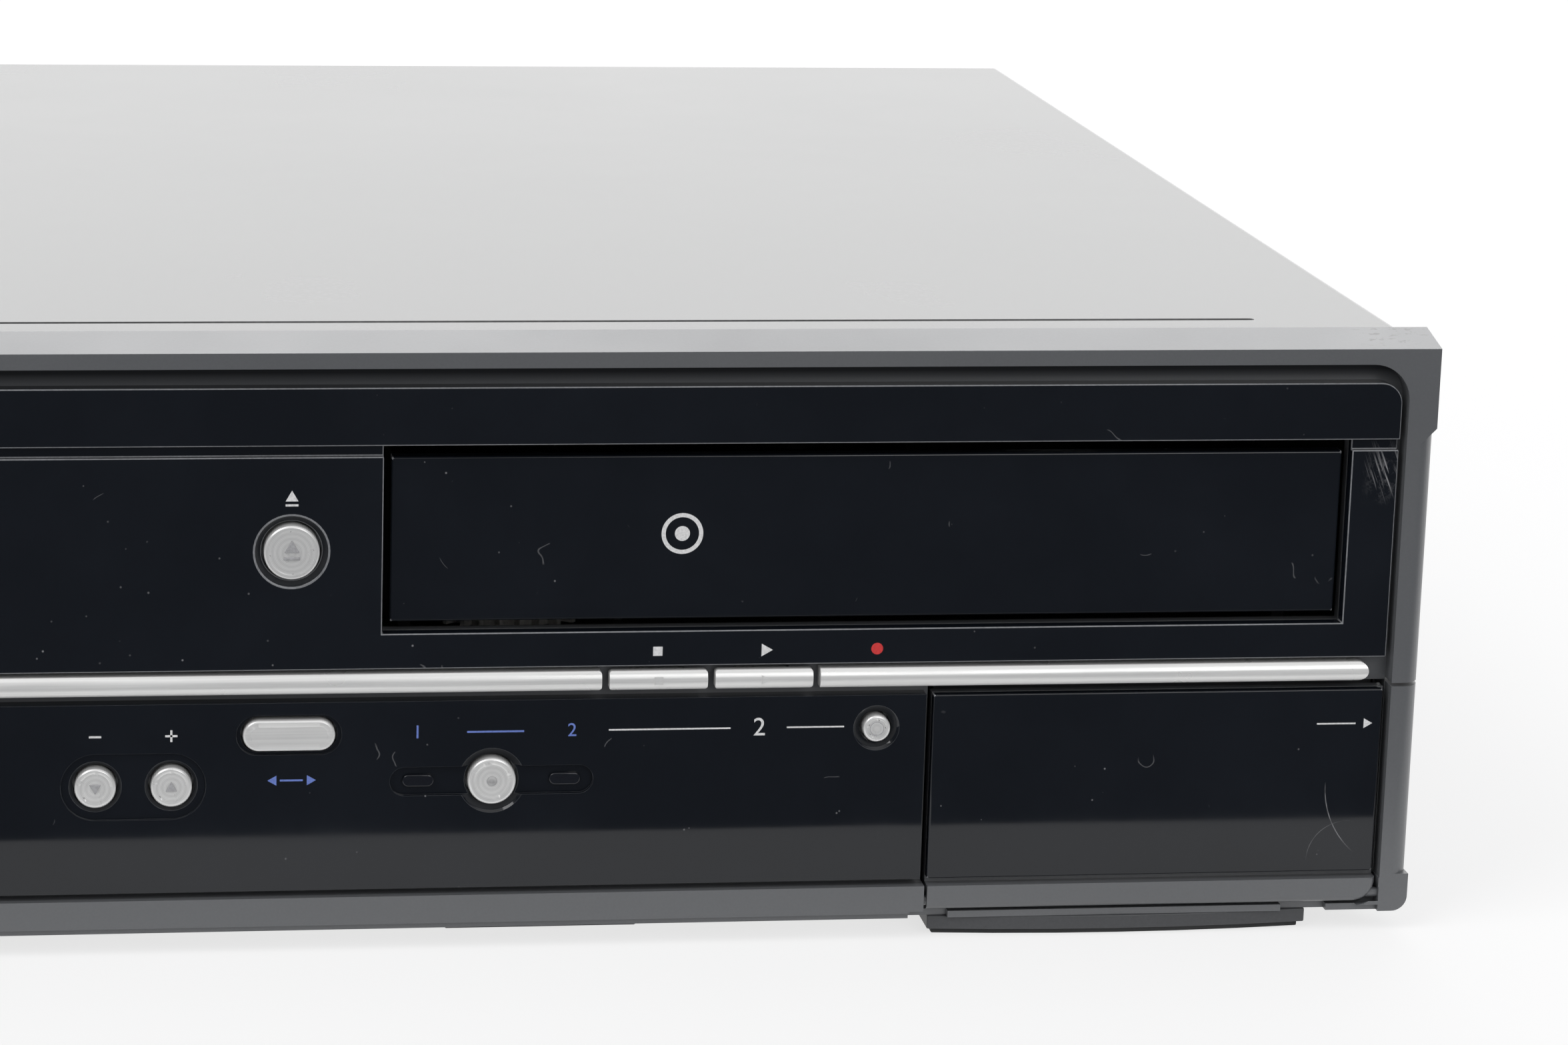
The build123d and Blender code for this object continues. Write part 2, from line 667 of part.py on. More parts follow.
def side_screws():
    depths = (SIDE_SCREW_END, BODY_DEPTH - SIDE_SCREW_END)
    return [(side * COVER_X, SIDE_SCREW_Z, depth) for side in (-1, 1) for depth in depths]


def rear_screws():
    return [(x, HEIGHT - COVER_LIP / 2) for x in REAR_SCREW_XS]


# ---- Enclosure ----

def chassis_pan():
    """Folded pan with its side flanges, board posts and floor slots."""
    floor = slab(-COVER_IN_X, COVER_IN_X, WEB_D1, PANEL_D0, FOOT_H, PAN_TOP)
    start = BEZEL_DEPTH + PAN_START
    side = slab(COVER_IN_X - PAN_T, COVER_IN_X, start, PANEL_D0, FOOT_H, FOOT_H + PAN_FLANGE)
    back = slab(-COVER_IN_X, COVER_IN_X, PANEL_D0 - PAN_T, PANEL_D0, FOOT_H, FOOT_H + PAN_REAR_FLANGE)
    posts = [rod_z(x, d, PCB_POST_R, FOOT_H, PCB_Z) for x, d in board_posts()]
    pan = joined([floor] + both_sides(side) + [back] + posts)
    slot_end = PANEL_D0 - PAN_SLOT_BACK
    for step in range(PAN_SLOTS):
        x = PAN_SLOT_X + step * PAN_SLOT_PITCH
        pan -= slab(x, x + PAN_SLOT_W, slot_end - PAN_SLOT_L, slot_end, FOOT_H - OVER, PAN_TOP + OVER)
    for x, z, depth in side_screws():
        pan -= rod_x(depth, z, SCREW_R + SCREW_FIT, x - SCREW_REACH, x + SCREW_REACH)
    return pan


def top_cover():
    """Bent cover with its turned-down lip, pressed bead and side vents."""
    low = FOOT_H + COVER_SIDE_GAP
    outer = slab(-COVER_X, COVER_X, BEZEL_DEPTH, BODY_DEPTH, low, HEIGHT)
    outer = fillet(outer.edges().filter_by(Axis.Y).group_by(Axis.Z)[-1], COVER_BEND)
    inner = slab(-COVER_IN_X, COVER_IN_X, 0, PANEL_D1, 0, COVER_IN_Z)
    inner = fillet(inner.edges().filter_by(Axis.Y).group_by(Axis.Z)[-1], COVER_BEND - COVER_T)
    cover = outer - inner
    cover -= slab(-COVER_IN_X, COVER_IN_X, PANEL_D0, BODY_DEPTH + OVER, 0, HEIGHT - COVER_LIP)
    length = 2 * (COVER_X - BEAD_INSET)
    bead = Pos(0, BEAD_DEPTH) * SlotOverall(length, BEAD_W)
    rib = Pos(0, BEAD_DEPTH) * SlotOverall(length, BEAD_W + COVER_T)
    cover += plan(rib, COVER_IN_Z - BEAD_DEEP, COVER_IN_Z)
    cover -= plan(bead, HEIGHT - BEAD_DEEP, HEIGHT + OVER)
    for step in range(VENT_COUNT):
        depth = BODY_DEPTH - VENT_FIRST + step * VENT_PITCH
        for z in VENT_ROWS:
            cover -= slab(-COVER_X - OVER, COVER_X + OVER, depth, depth + VENT_W, z, z + VENT_H)
    bore = SCREW_R + 2 * SCREW_FIT
    for x, z, depth in side_screws():
        cover -= rod_x(depth, z, bore, x - SCREW_REACH, x + SCREW_REACH)
    for x, z in rear_screws():
        cover -= rod_y(x, z, bore, PANEL_D0, BODY_DEPTH + OVER)
    return cover


def rear_screw(x, z):
    """Screw through the cover's lip, with a cross in its head."""
    top = BODY_DEPTH + HEAD_T
    head = rod_y(x, z, HEAD_R, BODY_DEPTH, top)
    for half_w, half_h in ((CROSS_L, CROSS_W), (CROSS_W, CROSS_L)):
        head -= panel(around(x, z, half_w, half_h), top - CROSS_DEEP, top + OVER)
    return head + rod_y(x, z, SCREW_R, BODY_DEPTH - SCREW_L, BODY_DEPTH)


def side_screw(x, z, depth):
    """Screw through the cover's side, with a cross in its head."""
    out = math.copysign(1, x)
    head = rod_x(depth, z, HEAD_R, *sorted((x, x + out * HEAD_T)))
    cross = sorted((x + out * (HEAD_T - CROSS_DEEP), x + out * (HEAD_T + OVER)))
    for half_d, half_h in ((CROSS_L, CROSS_W), (CROSS_W, CROSS_L)):
        head -= slab(*cross, depth - half_d, depth + half_d, z - half_h, z + half_h)
    return head + rod_x(depth, z, SCREW_R, *sorted((x, x - out * SCREW_L)))


def cover_screws():
    """All cover screws as one group."""
    rear = [rear_screw(x, z) for x, z in rear_screws()]
    return joined(rear + [side_screw(x, z, depth) for x, z, depth in side_screws()])


def rear_panel():
    """Rear sheet with its socket cut-outs and vents."""
    sheet = slab(-COVER_IN_X, COVER_IN_X, PANEL_D0, PANEL_D1, FOOT_H, COVER_IN_Z)
    sheet = chamfer(sheet.edges().filter_by(Axis.Y).group_by(Axis.Z)[-1], COVER_BEND - COVER_T)
    cuts = [rect(SCART[0] - CUT_GAP, SCART[1] + CUT_GAP, z - SCART_RISE, z + SCART_RISE) for z in SCART_ZS]
    cuts += [Pos(x, z) * Circle(PHONO_R + CUT_GAP) for x in PHONO_XS for z in PHONO_ZS]
    cuts += [Pos((TUNER_X0 + TUNER_X1) / 2, z) * Circle(AERIAL_HOLE_R + CUT_GAP) for z in AERIAL_ZS]
    cuts.append(around(HDMI_X, HDMI_Z, HDMI_W / 2 + CUT_GAP, HDMI_H / 2 + CUT_GAP))
    half = INLET_W / 2 + CUT_GAP
    cuts.append(rect(INLET_X - half, INLET_X + half, PCB_TOP - CUT_GAP, INLET_Z + INLET_RISE + CUT_GAP))
    cuts += [Pos(x, z) * Circle(SCREW_R + SCREW_FIT) for x, z in rear_screws()]
    columns, rows = REAR_VENT_ROWS
    for column in range(columns):
        for row in range(rows):
            x = REAR_VENT_X + column * REAR_VENT_PITCH[0]
            z = REAR_VENT_Z + row * REAR_VENT_PITCH[1]
            cuts.append(capsule(x, z, REAR_VENT_L, REAR_VENT_H))
    for cut in cuts:
        sheet -= panel(cut, PANEL_D0 - OVER, PANEL_D1 + OVER)
    return sheet


def front_foot(inset, z0, z1):
    """Bow-fronted foot, drawn in by the inset all round."""
    half = FOOT_W / 2 - inset
    near = FOOT_D0 + inset
    far = FOOT_D0 + FOOT_L - inset
    bow = ThreePointArc((-half, near + FOOT_BOW), (0, near), (half, near + FOOT_BOW))
    back = Polyline((half, near + FOOT_BOW), (half, far), (-half, far), (-half, near + FOOT_BOW))
    return Pos(FOOT_X, 0, 0) * plan(make_face([bow, back]), z0, z1)


def feet():
    """Two wide front feet on their pads and two round rear feet."""
    front = front_foot(0, PAD_T, FOOT_H) + front_foot(PAD_INSET, 0, PAD_T)
    rear = rod_z(REAR_FOOT_X, BODY_DEPTH - REAR_FOOT_END, REAR_FOOT_R, 0, FOOT_H)
    rear = chamfer(rear.edges().group_by(Axis.Z)[0], REAR_FOOT_CHAMFER)
    return joined(both_sides(front) + both_sides(rear))


# ---- Bezel and fascias ----

def cap_cutter():
    """What rounds a right-hand end cap's outer front edge, below its flat top."""
    centre = HALF - RIDGE_R
    corner = rect(centre, HALF + OVER, -OVER, RIDGE_R) - Pos(centre, RIDGE_R) * Circle(RIDGE_R)
    upright = plan(corner, LIP_TOP + RIDGE_START, RIDGE_TOP + FACET_LOW)
    slope = Polygon(
        (centre - FACET_IN, 0), (HALF + FACET_OUT, 0),
        (HALF + FACET_OUT, RIDGE_TOP + FACET_HIGH), (centre - FACET_IN, RIDGE_TOP - FACET_LOW), align=None,
    )
    return upright & panel(slope, -OVER - RIDGE_R, BEZEL_DEPTH)


def dub_outline(grow):
    return capsule(DUB_X, DUB_Z, DUB_W + 2 * grow, DUB_H + 2 * grow)


def button_holes():
    """Outlines of the holes that the buttons pass through."""
    holes = [Pos(x, z) * Circle(r + BUTTON_GAP) for x, z, r in round_buttons().values()]
    return holes + [dub_outline(BUTTON_GAP)]


def key_stem(x0, x1, grow):
    half_w, half_h = KEY_STEM
    return around((x0 + x1) / 2, BAR_Z, half_w + grow, half_h + grow)


def door_arm_spans():
    outer = [TAPE_X0 + ARM_IN, TAPE_X1 - ARM_IN - ARM_T]
    return [(x, x + ARM_T) for x in outer]


def door_ear_spans():
    left, right = door_arm_spans()
    return [(left[0] - EAR_GAP - PIN_L, left[0] - EAR_GAP), (right[1] + EAR_GAP, right[1] + EAR_GAP + PIN_L)]


def hinge_ears(block):
    """Adds the cassette door's two hinge ears and makes room for its arms."""
    for x0, x1 in door_arm_spans():
        top = DOOR_AXIS_Z + ARM_R + OVER
        depths = (WEB_D0 - ARM_ROOM_D0, WEB_D1 + OVER)
        block -= slab(x0 - ARM_ROOM, x1 + ARM_ROOM, *depths, STRIP_BOTTOM - OVER, top)
    for x0, x1 in door_ear_spans():
        block += slab(x0, x1, WEB_D1, DOOR_AXIS_D + EAR_HALF, DOOR_AXIS_Z - EAR_HALF, DOOR_AXIS_Z + EAR_HALF)
        block -= rod_x(DOOR_AXIS_D, DOOR_AXIS_Z, PIN_R + PIN_FIT, x0 - OVER, x1 + OVER)
    return block


def bezel_upper():
    """Top strip, lip, end caps and the web behind the upper fascia."""
    bottom = SPLIT_Z + SPLIT_GAP / 2
    front_z = HEIGHT - TOP_SLOPE
    block = slab(-HALF, HALF, 0, BEZEL_DEPTH, bottom, HEIGHT)
    slope = [(-OVER, front_z), (0, front_z), (BEZEL_DEPTH, HEIGHT), (-OVER, HEIGHT + OVER)]
    block -= side_profile(slope, -HALF - OVER, HALF + OVER)
    front = rect(-CAP_INNER, CAP_INNER, 0, LIP_UNDER)
    front = fillet(front.vertices().group_by(Axis.Y)[-1], GROOVE_R)
    block -= panel(front, -OVER, WEB_D0)
    block -= slab(-CAP_INNER, CAP_INNER, WEB_D1, BEZEL_DEPTH + OVER, 0, LIP_UNDER)
    tongue = COVER_IN_X - TONGUE_INSET
    reach = BEZEL_DEPTH + TONGUE_REACH
    block += slab(-tongue, tongue, WEB_D1, reach, COVER_IN_Z - TONGUE_T, COVER_IN_Z)
    block += slab(-CAP_INNER, CAP_INNER, WEB_D0, WEB_D1, SPLIT_Z, SPLIT_Z + SHELF_H)
    block -= panel(tape_opening(), -OVER, BEZEL_DEPTH)
    block -= panel(tray_opening(), -OVER, BEZEL_DEPTH)
    block = hinge_ears(block)
    x, z, radius = OPEN_BUTTON
    block -= rod_y(x, z, radius + BUTTON_GAP, -OVER, BEZEL_DEPTH)
    for x0, x1 in key_spans().values():
        block -= panel(key_stem(x0, x1, BUTTON_GAP), -OVER, BEZEL_DEPTH)
    post_x, post_z = OPEN_POST
    for side in (-1, 1):
        block += rod_y(x + side * post_x, z + side * post_z, POST_R, WEB_D1, BOARD_D)
    for cutter in both_sides(cap_cutter()):
        block -= cutter
    return block


def flap_outline(grow):
    """The flap's outline with its rounded lower right corner."""
    shape = rect(FLAP_X0 - grow, FLAP_X1 + grow, LIP_BOTTOM - grow, SPLIT_Z + OVER)
    corner = shape.vertices().group_by(Axis.Y)[0].sort_by(Axis.X)[-1]
    return fillet(corner, FLAP_CORNER)


def flap_space():
    """Room for the flap: its closed place, its swing and the jack tub behind it."""
    room = panel(flap_outline(FLAP_ROOM), -OVER, BEZEL_DEPTH)
    room += slab(FLAP_X0 - FLAP_ROOM, FLAP_X1 + FLAP_ROOM, WEB_D0, BEZEL_DEPTH, RAIL_TOP, SPLIT_Z)
    pin_end = FLAP_X1 - FLAP_CORNER + FLAP_PIN_R
    return room + rod_x(FLAP_AXIS_D, FLAP_AXIS_Z, FLAP_BORE_R, pin_end, CAP_INNER)


def bezel_lower():
    """Lower lip, base rail, end caps and the web behind the lower fascia."""
    block = slab(-HALF, HALF, 0, BEZEL_DEPTH, FOOT_H, SPLIT_Z - SPLIT_GAP / 2)
    block = fillet(block.edges().filter_by(Axis.Y).group_by(Axis.Z)[0], CAP_FOOT_R)
    block -= slab(-CAP_INNER, CAP_INNER, -OVER, WEB_D0, LIP_TOP, SPLIT_Z)
    block -= slab(-CAP_INNER, CAP_INNER, WEB_D1, BEZEL_DEPTH + OVER, FOOT_H, SPLIT_Z)
    block += slab(-CAP_INNER, CAP_INNER, WEB_D0, WEB_D1, FOOT_H, SPLIT_Z)
    block -= slab(-CAP_INNER, CAP_INNER, -OVER, RAIL_SET_BACK, FOOT_H - OVER, RAIL_TOP)
    block -= flap_space()
    x0, x1, z0, z1 = WINDOW
    seat_x, seat_z = WINDOW_SEAT
    block -= slab(x0 + seat_x, x1 - seat_x, -OVER, BEZEL_DEPTH, z0 + seat_z, z1 - seat_z)
    below = slab(-HALF, HALF, 0, BEZEL_DEPTH, 0, LOWER_TOP)
    for hole in button_holes():
        block -= panel(hole, BUTTON_HOLE_D0, BEZEL_DEPTH) & below
    for x, z in CONTROL_POSTS:
        block += rod_y(x, z, POST_R, WEB_D1, BOARD_D)
    for cutter in both_sides(cap_cutter()):
        block -= cutter
    for start in (FLAP_X0 - FLAP_BORE_L, CAP_INNER - FLAP_PIN_BITE):
        block -= rod_x(FLAP_AXIS_D, FLAP_AXIS_Z, FLAP_PIN_R + PIN_FIT, start, start + FLAP_BORE_L)
    return block


def button_well(x, z, radius, face):
    """Hole for a round button with a dished ring round it."""
    wide = radius + DISH_EXTRA
    narrow = radius + BUTTON_GAP
    dish = Pos(x, Y_FRONT + face + DISH_DEEP / 2, z) * Rot(90, 0, 0) * Cone(narrow, wide, DISH_DEEP)
    return dish + rod_y(x, z, narrow, -OVER, WEB_D1)


def fascia_upper():
    """Gloss panel above the silver bar: strip, step groove and main panel."""
    outline = rect(-FASCIA_HALF, FASCIA_HALF, UPPER_BOTTOM, STRIP_TOP)
    outline = fillet(outline.vertices().group_by(Axis.Y)[-1], FASCIA_R)
    plate = panel(outline, STRIP_D, WEB_D0)
    plate -= slab(-HALF, HALF, 0, MAIN_D, 0, STEP_TOP)
    plate -= slab(-HALF, HALF, 0, STEP_D, STEP_TOP, STRIP_BOTTOM)
    plate -= panel(tape_opening(), -OVER, BEZEL_DEPTH)
    plate -= panel(tray_opening(), -OVER, BEZEL_DEPTH)
    return plate - button_well(*OPEN_BUTTON, MAIN_D)


def fascia_lower():
    """Gloss panel below the silver bar, with its recesses and the window's hole."""
    plate = slab(-FASCIA_HALF, LOWER_RIGHT, LOWER_D, WEB_D0, LOWER_BOTTOM, LOWER_TOP)
    plate -= panel(rect(*WINDOW), -OVER, BEZEL_DEPTH)
    for name, (x, z, radius) in round_buttons().items():
        if name != "disc_open_button":
            plate -= button_well(x, z, radius, LOWER_D)
    pair_x = (UP_BUTTON[0] + DOWN_BUTTON[0]) / 2
    pair_w = UP_BUTTON[0] - DOWN_BUTTON[0] + PAIR_H
    plate -= panel(capsule(pair_x, UP_BUTTON[1], pair_w, PAIR_H), 0, LOWER_D + PAIR_DEEP)
    plate -= panel(capsule(*SELECT_BUTTON[:2], GROOVE_W, GROOVE_H), 0, LOWER_D + GROOVE_DEEP)
    extra_w, extra_h, deep = DUB_RECESS
    plate -= panel(capsule(DUB_X, DUB_Z, DUB_W + extra_w, DUB_H + extra_h), 0, LOWER_D + deep)
    return plate - panel(dub_outline(BUTTON_GAP), -OVER, BEZEL_DEPTH)


def crowned(outline, back):
    """A piece of the silver bar: flat back, rounded front."""
    low, high = bar_heights()
    shoulder = BAR_D0 + BAR_CROWN
    front = ThreePointArc((shoulder, low), (BAR_D0, BAR_Z), (shoulder, high))
    rest = Polyline((shoulder, high), (back, high), (back, low), (shoulder, low))
    plane = Plane(origin=(-HALF, Y_FRONT, 0), x_dir=(0, 1, 0), z_dir=(1, 0, 0))
    return extrude(plane * make_face([front, rest]), WIDTH, dir=(1, 0, 0)) & panel(outline, -OVER, back)


def trim_bars():
    """Left, middle and right silver bar."""
    low, high = bar_heights()
    radius = BAR_H / 2
    right = rect(BAR_JOIN, BAR_END - radius, low, high) + Pos(BAR_END - radius, BAR_Z) * Circle(radius)
    middle = rect(-BAR_MID, BAR_MID, low, high, BAR_CORNER)
    return joined(both_sides(crowned(right, WEB_D0)) + [crowned(middle, WEB_D0)])


# ---- Doors and flap ----

def door_plate(x0, x1):
    """The front of a door, with its outer edges eased."""
    plate = slab(x0, x1, DOOR_D, DOOR_BACK, DOOR_BOTTOM, DOOR_TOP)
    return fillet(plate.edges().group_by(Axis.Y)[0], DOOR_EDGE_R)


def cassette_door():
    """Cassette door with its two hinge arms and pins."""
    door = door_plate(TAPE_X0, TAPE_X1)
    root = DOOR_BACK - ARM_BITE
    heel = DOOR_AXIS_D + ARM_R
    foot_z = DOOR_AXIS_Z - ARM_FOOT
    leg = [(root, foot_z), (root, DOOR_AXIS_Z), (heel, DOOR_AXIS_Z), (heel, DOOR_AXIS_Z - ARM_HEEL)]
    leg.append((DOOR_AXIS_D - ARM_TOE, foot_z))
    for x0, x1 in door_arm_spans():
        door += side_profile(leg, x0, x1)
        door += rod_x(DOOR_AXIS_D, DOOR_AXIS_Z, ARM_R, x0, x1)
    for arm, ear in zip(door_arm_spans(), door_ear_spans()):
        door += rod_x(DOOR_AXIS_D, DOOR_AXIS_Z, PIN_R, min(arm + ear), max(arm + ear))
    return door


def jack_flap():
    """Carrier of the jack flap, with the lip below its panel and its two pins."""
    carrier_d0 = LOWER_D + FLAP_PANEL_T
    outline = flap_outline(0) & rect(FLAP_X0, FLAP_X1, 0, FLAP_TOP)
    flap = panel(outline, carrier_d0, carrier_d0 + FLAP_T)
    lip = panel(flap_outline(0) & rect(FLAP_X0, FLAP_X1, 0, LIP_TOP), 0, carrier_d0)
    edge = lip.edges().filter_by(Axis.X).group_by(Axis.Z)[0].sort_by(Axis.Y)[0]
    flap += fillet(edge, FLAP_EDGE_R)
    pins = (
        (FLAP_X0 - FLAP_PIN_L, FLAP_X0 + FLAP_PIN_BITE),
        (FLAP_X1 - FLAP_PIN_L, FLAP_X1 + FLAP_PIN_OUT),
    )
    for x0, x1 in pins:
        flap += rod_x(FLAP_AXIS_D, FLAP_AXIS_Z, FLAP_PIN_R, x0, x1)
    return flap


def jack_flap_panel():
    """Gloss panel on the jack flap."""
    back = LOWER_D + FLAP_PANEL_T
    plate = slab(FLAP_X0, FLAP_X1 - FLAP_PANEL_INSET, LOWER_D, back, LOWER_BOTTOM, FLAP_TOP)
    return fillet(plate.edges().group_by(Axis.Y)[0], FLAP_PANEL_R)


def front_jack_panel():
    """Tub behind the flap that holds the front sockets."""
    x0, x1 = TUB_X0 + TUB_WALL, TUB_X1 - TUB_WALL
    tub = slab(TUB_X0, TUB_X1, WEB_D1, TUB_D1, PAN_TOP, TUB_TOP)
    tub -= slab(x0, x1, 0, TUB_D1 - TUB_WALL, TUB_FLOOR, TUB_TOP - TUB_WALL)
    tub -= slab(x0, x1, WEB_D1 + TUB_RIM, TUB_D1 + OVER, 0, TUB_FLOOR - TUB_WALL)
    for x in FRONT_PHONO_XS:
        tub -= rod_y(x, FRONT_PHONO_Z, PHONO_R + PHONO_FIT, WEB_D1, TUB_D1 + OVER)
    return tub


def display_window():
    """Smoked window in front of the display."""
    x0, x1, z0, z1 = WINDOW
    return slab(x0 + WINDOW_FIT, x1 - WINDOW_FIT, WINDOW_D0, WEB_D0, z0 + WINDOW_FIT, z1 - WINDOW_FIT)


# ---- Buttons ----

def flange_depth():
    """Front face of the flange that stops every button behind the web."""
    return WEB_D1 + FLANGE_GAP


def button_stem(x, z):
    """Stem that presses the switch behind a button."""
    return rod_y(x, z, STEM_R, flange_depth(), STEM_END)


def round_button(x, z, radius):
    """Round button with its flange and stem."""
    flange = flange_depth()
    cap = rod_y(x, z, radius, BUTTON_D0, flange + FLANGE_T)
    cap = fillet(cap.edges().group_by(Axis.Y)[0], BUTTON_EDGE_R)
    cap += rod_y(x, z, radius + FLANGE_EXTRA, flange, flange + FLANGE_T)
    return cap + button_stem(x, z)


def key_button(x0, x1):
    """Key in the silver bar with its flange and stem."""
    flange = flange_depth()
    key = crowned(rect(x0, x1, *bar_heights(), BAR_CORNER), BAR_D0 + KEY_FRONT_T)
    key += panel(key_stem(x0, x1, 0), BAR_D0 + KEY_FRONT_T / 2, flange + FLANGE_T)
    key += panel(key_stem(x0, x1, FLANGE_EXTRA), flange, flange + FLANGE_T)
    return key + button_stem((x0 + x1) / 2, BAR_Z)


def dubbing_button():
    """Capsule-shaped button with its flange and stem."""
    flange = flange_depth()
    cap = panel(dub_outline(0), BUTTON_D0, flange + FLANGE_T)
    cap = fillet(cap.edges().group_by(Axis.Y)[0], BUTTON_EDGE_R)
    cap += panel(dub_outline(DUB_FLANGE / 2), flange, flange + FLANGE_T)
    return cap + button_stem(DUB_X, DUB_Z)


def control_board():
    """Board behind the front, with one push switch behind each button."""
    board = slab(CONTROL_X0, CONTROL_X1, BOARD_D, BOARD_D + BOARD_T, BOARD_Z, SPLIT_Z + BOARD_RISE)
    x, z, _ = OPEN_BUTTON
    board += panel(around(x, z, *OPEN_BOARD), BOARD_D, BOARD_D + BOARD_T)
    plunger = STEM_END + BUTTON_TRAVEL + PLUNGER_GAP
    body = BOARD_D - SWITCH_T
    for sx, sz in switch_places():
        board += panel(around(sx, sz, SWITCH / 2, SWITCH / 2), body, BOARD_D)
        board += rod_y(sx, sz, PLUNGER_R, plunger, body)
    return board


def display_module():
    """Display glass and its base on the control board."""
    x0, x1, z0, z1 = WINDOW
    in_x, in_z = MODULE_INSET
    more_x, more_z = MODULE_STEP
    front, back = MODULE_D
    glass = slab(x0 + in_x, x1 - in_x, front, back, z0 + in_z, z1 - in_z)
    in_x += more_x
    in_z += more_z
    return glass + slab(x0 + in_x, x1 - in_x, back, BOARD_D, z0 + in_z, z1 - in_z)


# ---- Disc drive ----

def tray_front():
    """Gloss front of the disc tray."""
    return door_plate(TRAY_X0, TRAY_X1)


def disc_tray():
    """Tray with its two wells, the slot for the turntable and the rack."""
    half = TRAY_W / 2
    tray = slab(DISC_X - half, DISC_X + half, DOOR_BACK, TRAY_END, TRAY_Z0, TRAY_Z1)
    tray -= rod_z(DISC_X, DISC_D, DISC_WELL_R, WELL_FLOOR, TRAY_Z1 + OVER)
    tray -= rod_z(DISC_X, DISC_D, SMALL_WELL_R, SMALL_WELL_FLOOR, TRAY_Z1)
    tray -= rod_z(DISC_X, DISC_D, SLOT_R, TRAY_Z0 - OVER, TRAY_Z1)
    tray -= slab(DISC_X - SLOT_R, DISC_X + SLOT_R, DISC_D, TRAY_END + OVER, TRAY_Z0 - OVER, TRAY_Z1 + OVER)
    return tray + Pos(DISC_X, 0, 0) * tray_rack()


def tooth():
    """One tooth standing along +Y from its root, which is at the origin."""
    root, tip = TOOTH_W * TOOTH_WIDE, TOOTH_W * TOOTH_NARROW
    return Polygon((-root, -TOOTH_SINK), (root, -TOOTH_SINK), (tip, TOOTH_H), (-tip, TOOTH_H), align=None)


def tray_rack():
    """Rack along the tray's underside, teeth towards +X."""
    root = RACK_X - TOOTH_ROOT
    pitch = math.pi * GEAR_M
    near, far = RACK_ENDS
    outline = rect(root - RACK_BACK, root, GEAR_D - near, TRAY_END - far)
    count = int((TRAY_END - RACK_SPARE - GEAR_D) / pitch)
    for step in range(-1, count):
        place = Pos(root, GEAR_D + (step + 0.5) * pitch) * Rot(0, 0, -90)
        outline += place * tooth()
    return plan(outline, RACK_Z0, TRAY_Z0)


def gear_outline(teeth, turn):
    """Outline of a toothed wheel round the origin."""
    root = GEAR_M * teeth / 2 - TOOTH_ROOT
    outline = Circle(root)
    for step in range(teeth):
        angle = turn + 360 * step / teeth
        outline += Rot(0, 0, angle) * Pos(0, root) * tooth()
    return outline


def gear_x():
    return DISC_X + RACK_X + GEAR_M * PINION_TEETH / 2 + MESH_GAP


def motor_x():
    return gear_x() + GEAR_M * (WHEEL_TEETH + MOTOR_TEETH) / 2 + MESH_GAP


def loading_gear():
    """Wheel that the motor pinion drives, with the pinion that drives the rack."""
    wheel = Pos(gear_x(), GEAR_D) * gear_outline(WHEEL_TEETH, 90)
    pinion = Pos(gear_x(), GEAR_D) * gear_outline(PINION_TEETH, 90)
    gear = plan(wheel, *WHEEL_Z) + plan(pinion, WHEEL_Z[1], AXLE_TOP - AXLE_SHOW)
    return gear - rod_z(gear_x(), GEAR_D, GEAR_BORE + PIN_FIT, 0, LOADER_Z1)


def motor_pinion():
    """Pinion on the loading motor's shaft, turned half a tooth to mesh."""
    turn = 90 + 180 / MOTOR_TEETH
    pinion = plan(Pos(motor_x(), GEAR_D) * gear_outline(MOTOR_TEETH, turn), *WHEEL_Z)
    return pinion - rod_z(motor_x(), GEAR_D, SHAFT_R + PIN_FIT, 0, LOADER_Z1)


def loading_motor():
    """Loading motor with its shaft."""
    can = rod_z(motor_x(), GEAR_D, LOADING_MOTOR_R, LOADER_Z0 - LOADING_MOTOR_H, LOADER_Z0)
    return can + rod_z(motor_x(), GEAR_D, SHAFT_R, LOADER_Z0, WHEEL_Z[1])


def loader_side(side, half, window):
    """Ledge, hook and traverse ear on one side of the loader."""
    wall = DISC_X + side * half
    ledge = sorted((wall, wall - side * LEDGE))
    rest = TRAY_Z0 - SLIDE_GAP
    hook = TRAY_Z1 + SLIDE_GAP
    pieces = [slab(*ledge, LOADER_D0, LOADER_D1 - LOADER_WALL, rest - LEDGE_T, rest)]
    pieces.append(slab(*ledge, LOADER_D0, LOADER_D0 + HOOK_L, hook, hook + HOOK_T))
    ear = sorted((DISC_X + side * (window - EAR_IN), DISC_X + side * (window + EAR_W)))
    block = slab(*ear, TRAVERSE_AXIS_D - EAR_L, TRAVERSE_AXIS_D + EAR_L, LOADER_Z0, TRAVERSE_Z + EAR_L)
    bore = rod_x(TRAVERSE_AXIS_D, TRAVERSE_Z + AXIS_RISE, PIN_R + PIN_FIT, ear[0] - OVER, ear[1] + OVER)
    return joined(pieces + [block - bore])


